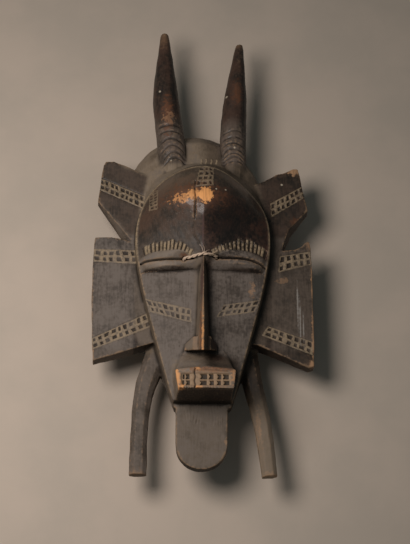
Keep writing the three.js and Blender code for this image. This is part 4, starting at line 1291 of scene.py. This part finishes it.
specks_and_glint = [patch(middle, (reach, reach, reach * 2), 0.6, 0.3, speckle) for middle, reach in SPECKS_AND_GLINT]
colour = lay_over(colour, PALE_MARK, strongest(specks_and_glint))
worn_forehead = patch((-22, 4, 76), (20, 17, 14), 0.6, 0.5, blotches)
colour = lay_over(colour, SCRATCH, worn_forehead * ramp(speckle, 0.66, 0.74) * 0.55)
scratches = [patch(middle, reach, 0.8, 0.6, clumps) for middle, reach in SCRATCHES]
colour = lay_over(colour, SCRATCH, strongest(scratches) * 0.85)
beside_nose = patch((-1.3, -44, 72.6), (1.3, 20, 8), 0.5, 0.4, clumps) * 0.75
keel_line = patch((-0.4, -10, 75), (0.7, 17, 9), 0.6, 0.5, clumps) * 0.6
colour = lay_over(colour, DARK_RED, strongest([beside_nose, keel_line]))
print("specks_and_glint", len(SPECKS_AND_GLINT), "scratches", len(SCRATCHES))

# %% How rough and how glossy it is
SHINE, COAT, COAT_ROUGHNESS = 0.26, 0.26, 0.17
BUMP, BUMP_DEPTH = 0.35, 0.0004

rough = ramp(blotches, 0.3, 0.7, 0.54, 0.68) - polish * 0.08 + film * 0.14
matt = strongest([walls, fresh, film * 2.0])
glossy = polish * (1.0 - maths("MINIMUM", matt, 1.0)) * COAT
bump = add("Bump", Strength=BUMP, Distance=BUMP_DEPTH, Height=streaks * 0.6 + pores * 0.4)
fill(shader, Base_Color=colour, Roughness=maths("MAXIMUM", rough, walls * 0.8), Normal=bump,
     Specular_IOR_Level=SHINE, Coat_Weight=glossy, Coat_Roughness=COAT_ROUGHNESS)
print("stained wood", len(tree.nodes), "nodes")

# %% [markdown]
# ## The fibre and the floor
#
# The cord is pale plant fibre, matt and a little uneven along its strands, and browner on the
# right. The floor is a plain painted board, with faint stains so that it isn't flat in tone.

# %% The pale fibre
FIBRE_PALE, FIBRE_BROWN = (0.60, 0.435, 0.315), (0.22, 0.145, 0.085)

fibre, tree, shader, place = new_material("plant_fibre")
streaks, pores, _ = use_group(grain_group, Place=place, Across=0.5, Along=0.9)
to_the_side = add("SeparateXYZ", Vector=place)
browned = ramp(streaks, 0.45, 0.8, 0.0, 0.7) + ramp(to_the_side, 0.5, 7.5, 0.0, 0.6)
colour = lay_over(FIBRE_PALE, FIBRE_BROWN, maths("MINIMUM", browned, 1.0))
bump = add("Bump", Strength=0.5, Distance=0.0002, Height=pores)
fill(shader, Base_Color=colour, Roughness=0.85, Normal=bump)
print("plant fibre", len(tree.nodes), "nodes")

# %% The painted floor
FLOOR_TONE, FLOOR_STAIN = (0.53, 0.428, 0.345), (0.475, 0.392, 0.318)

paint, tree, shader, place = new_material("painted_floor")
stains = ramp(noise(place, 0.012, 6.0, 0.55), 0.35, 0.65)
colour = lay_over(FLOOR_TONE, FLOOR_STAIN, stains)
fill(shader, Base_Color=colour, Roughness=0.8, Specular_IOR_Level=0.25)
floor.data.materials.append(paint)
print("painted floor", len(tree.nodes), "nodes")

# %% [markdown]
# ## Putting it together
#
# Each piece rides on the frame and stands for the solid that it was made from.

# %% Ride, replace and give each piece its material
PIECES = ((carving, "mask", "wood", wood), (cord, "bridge_cord", "cord", fibre))

for piece, node, slot, material in PIECES:
    piece.data.materials.clear()
    piece.data.materials.append(material)
    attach(piece, "root")
    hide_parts(node)
print("pieces", [piece.name for piece, *_ in PIECES])
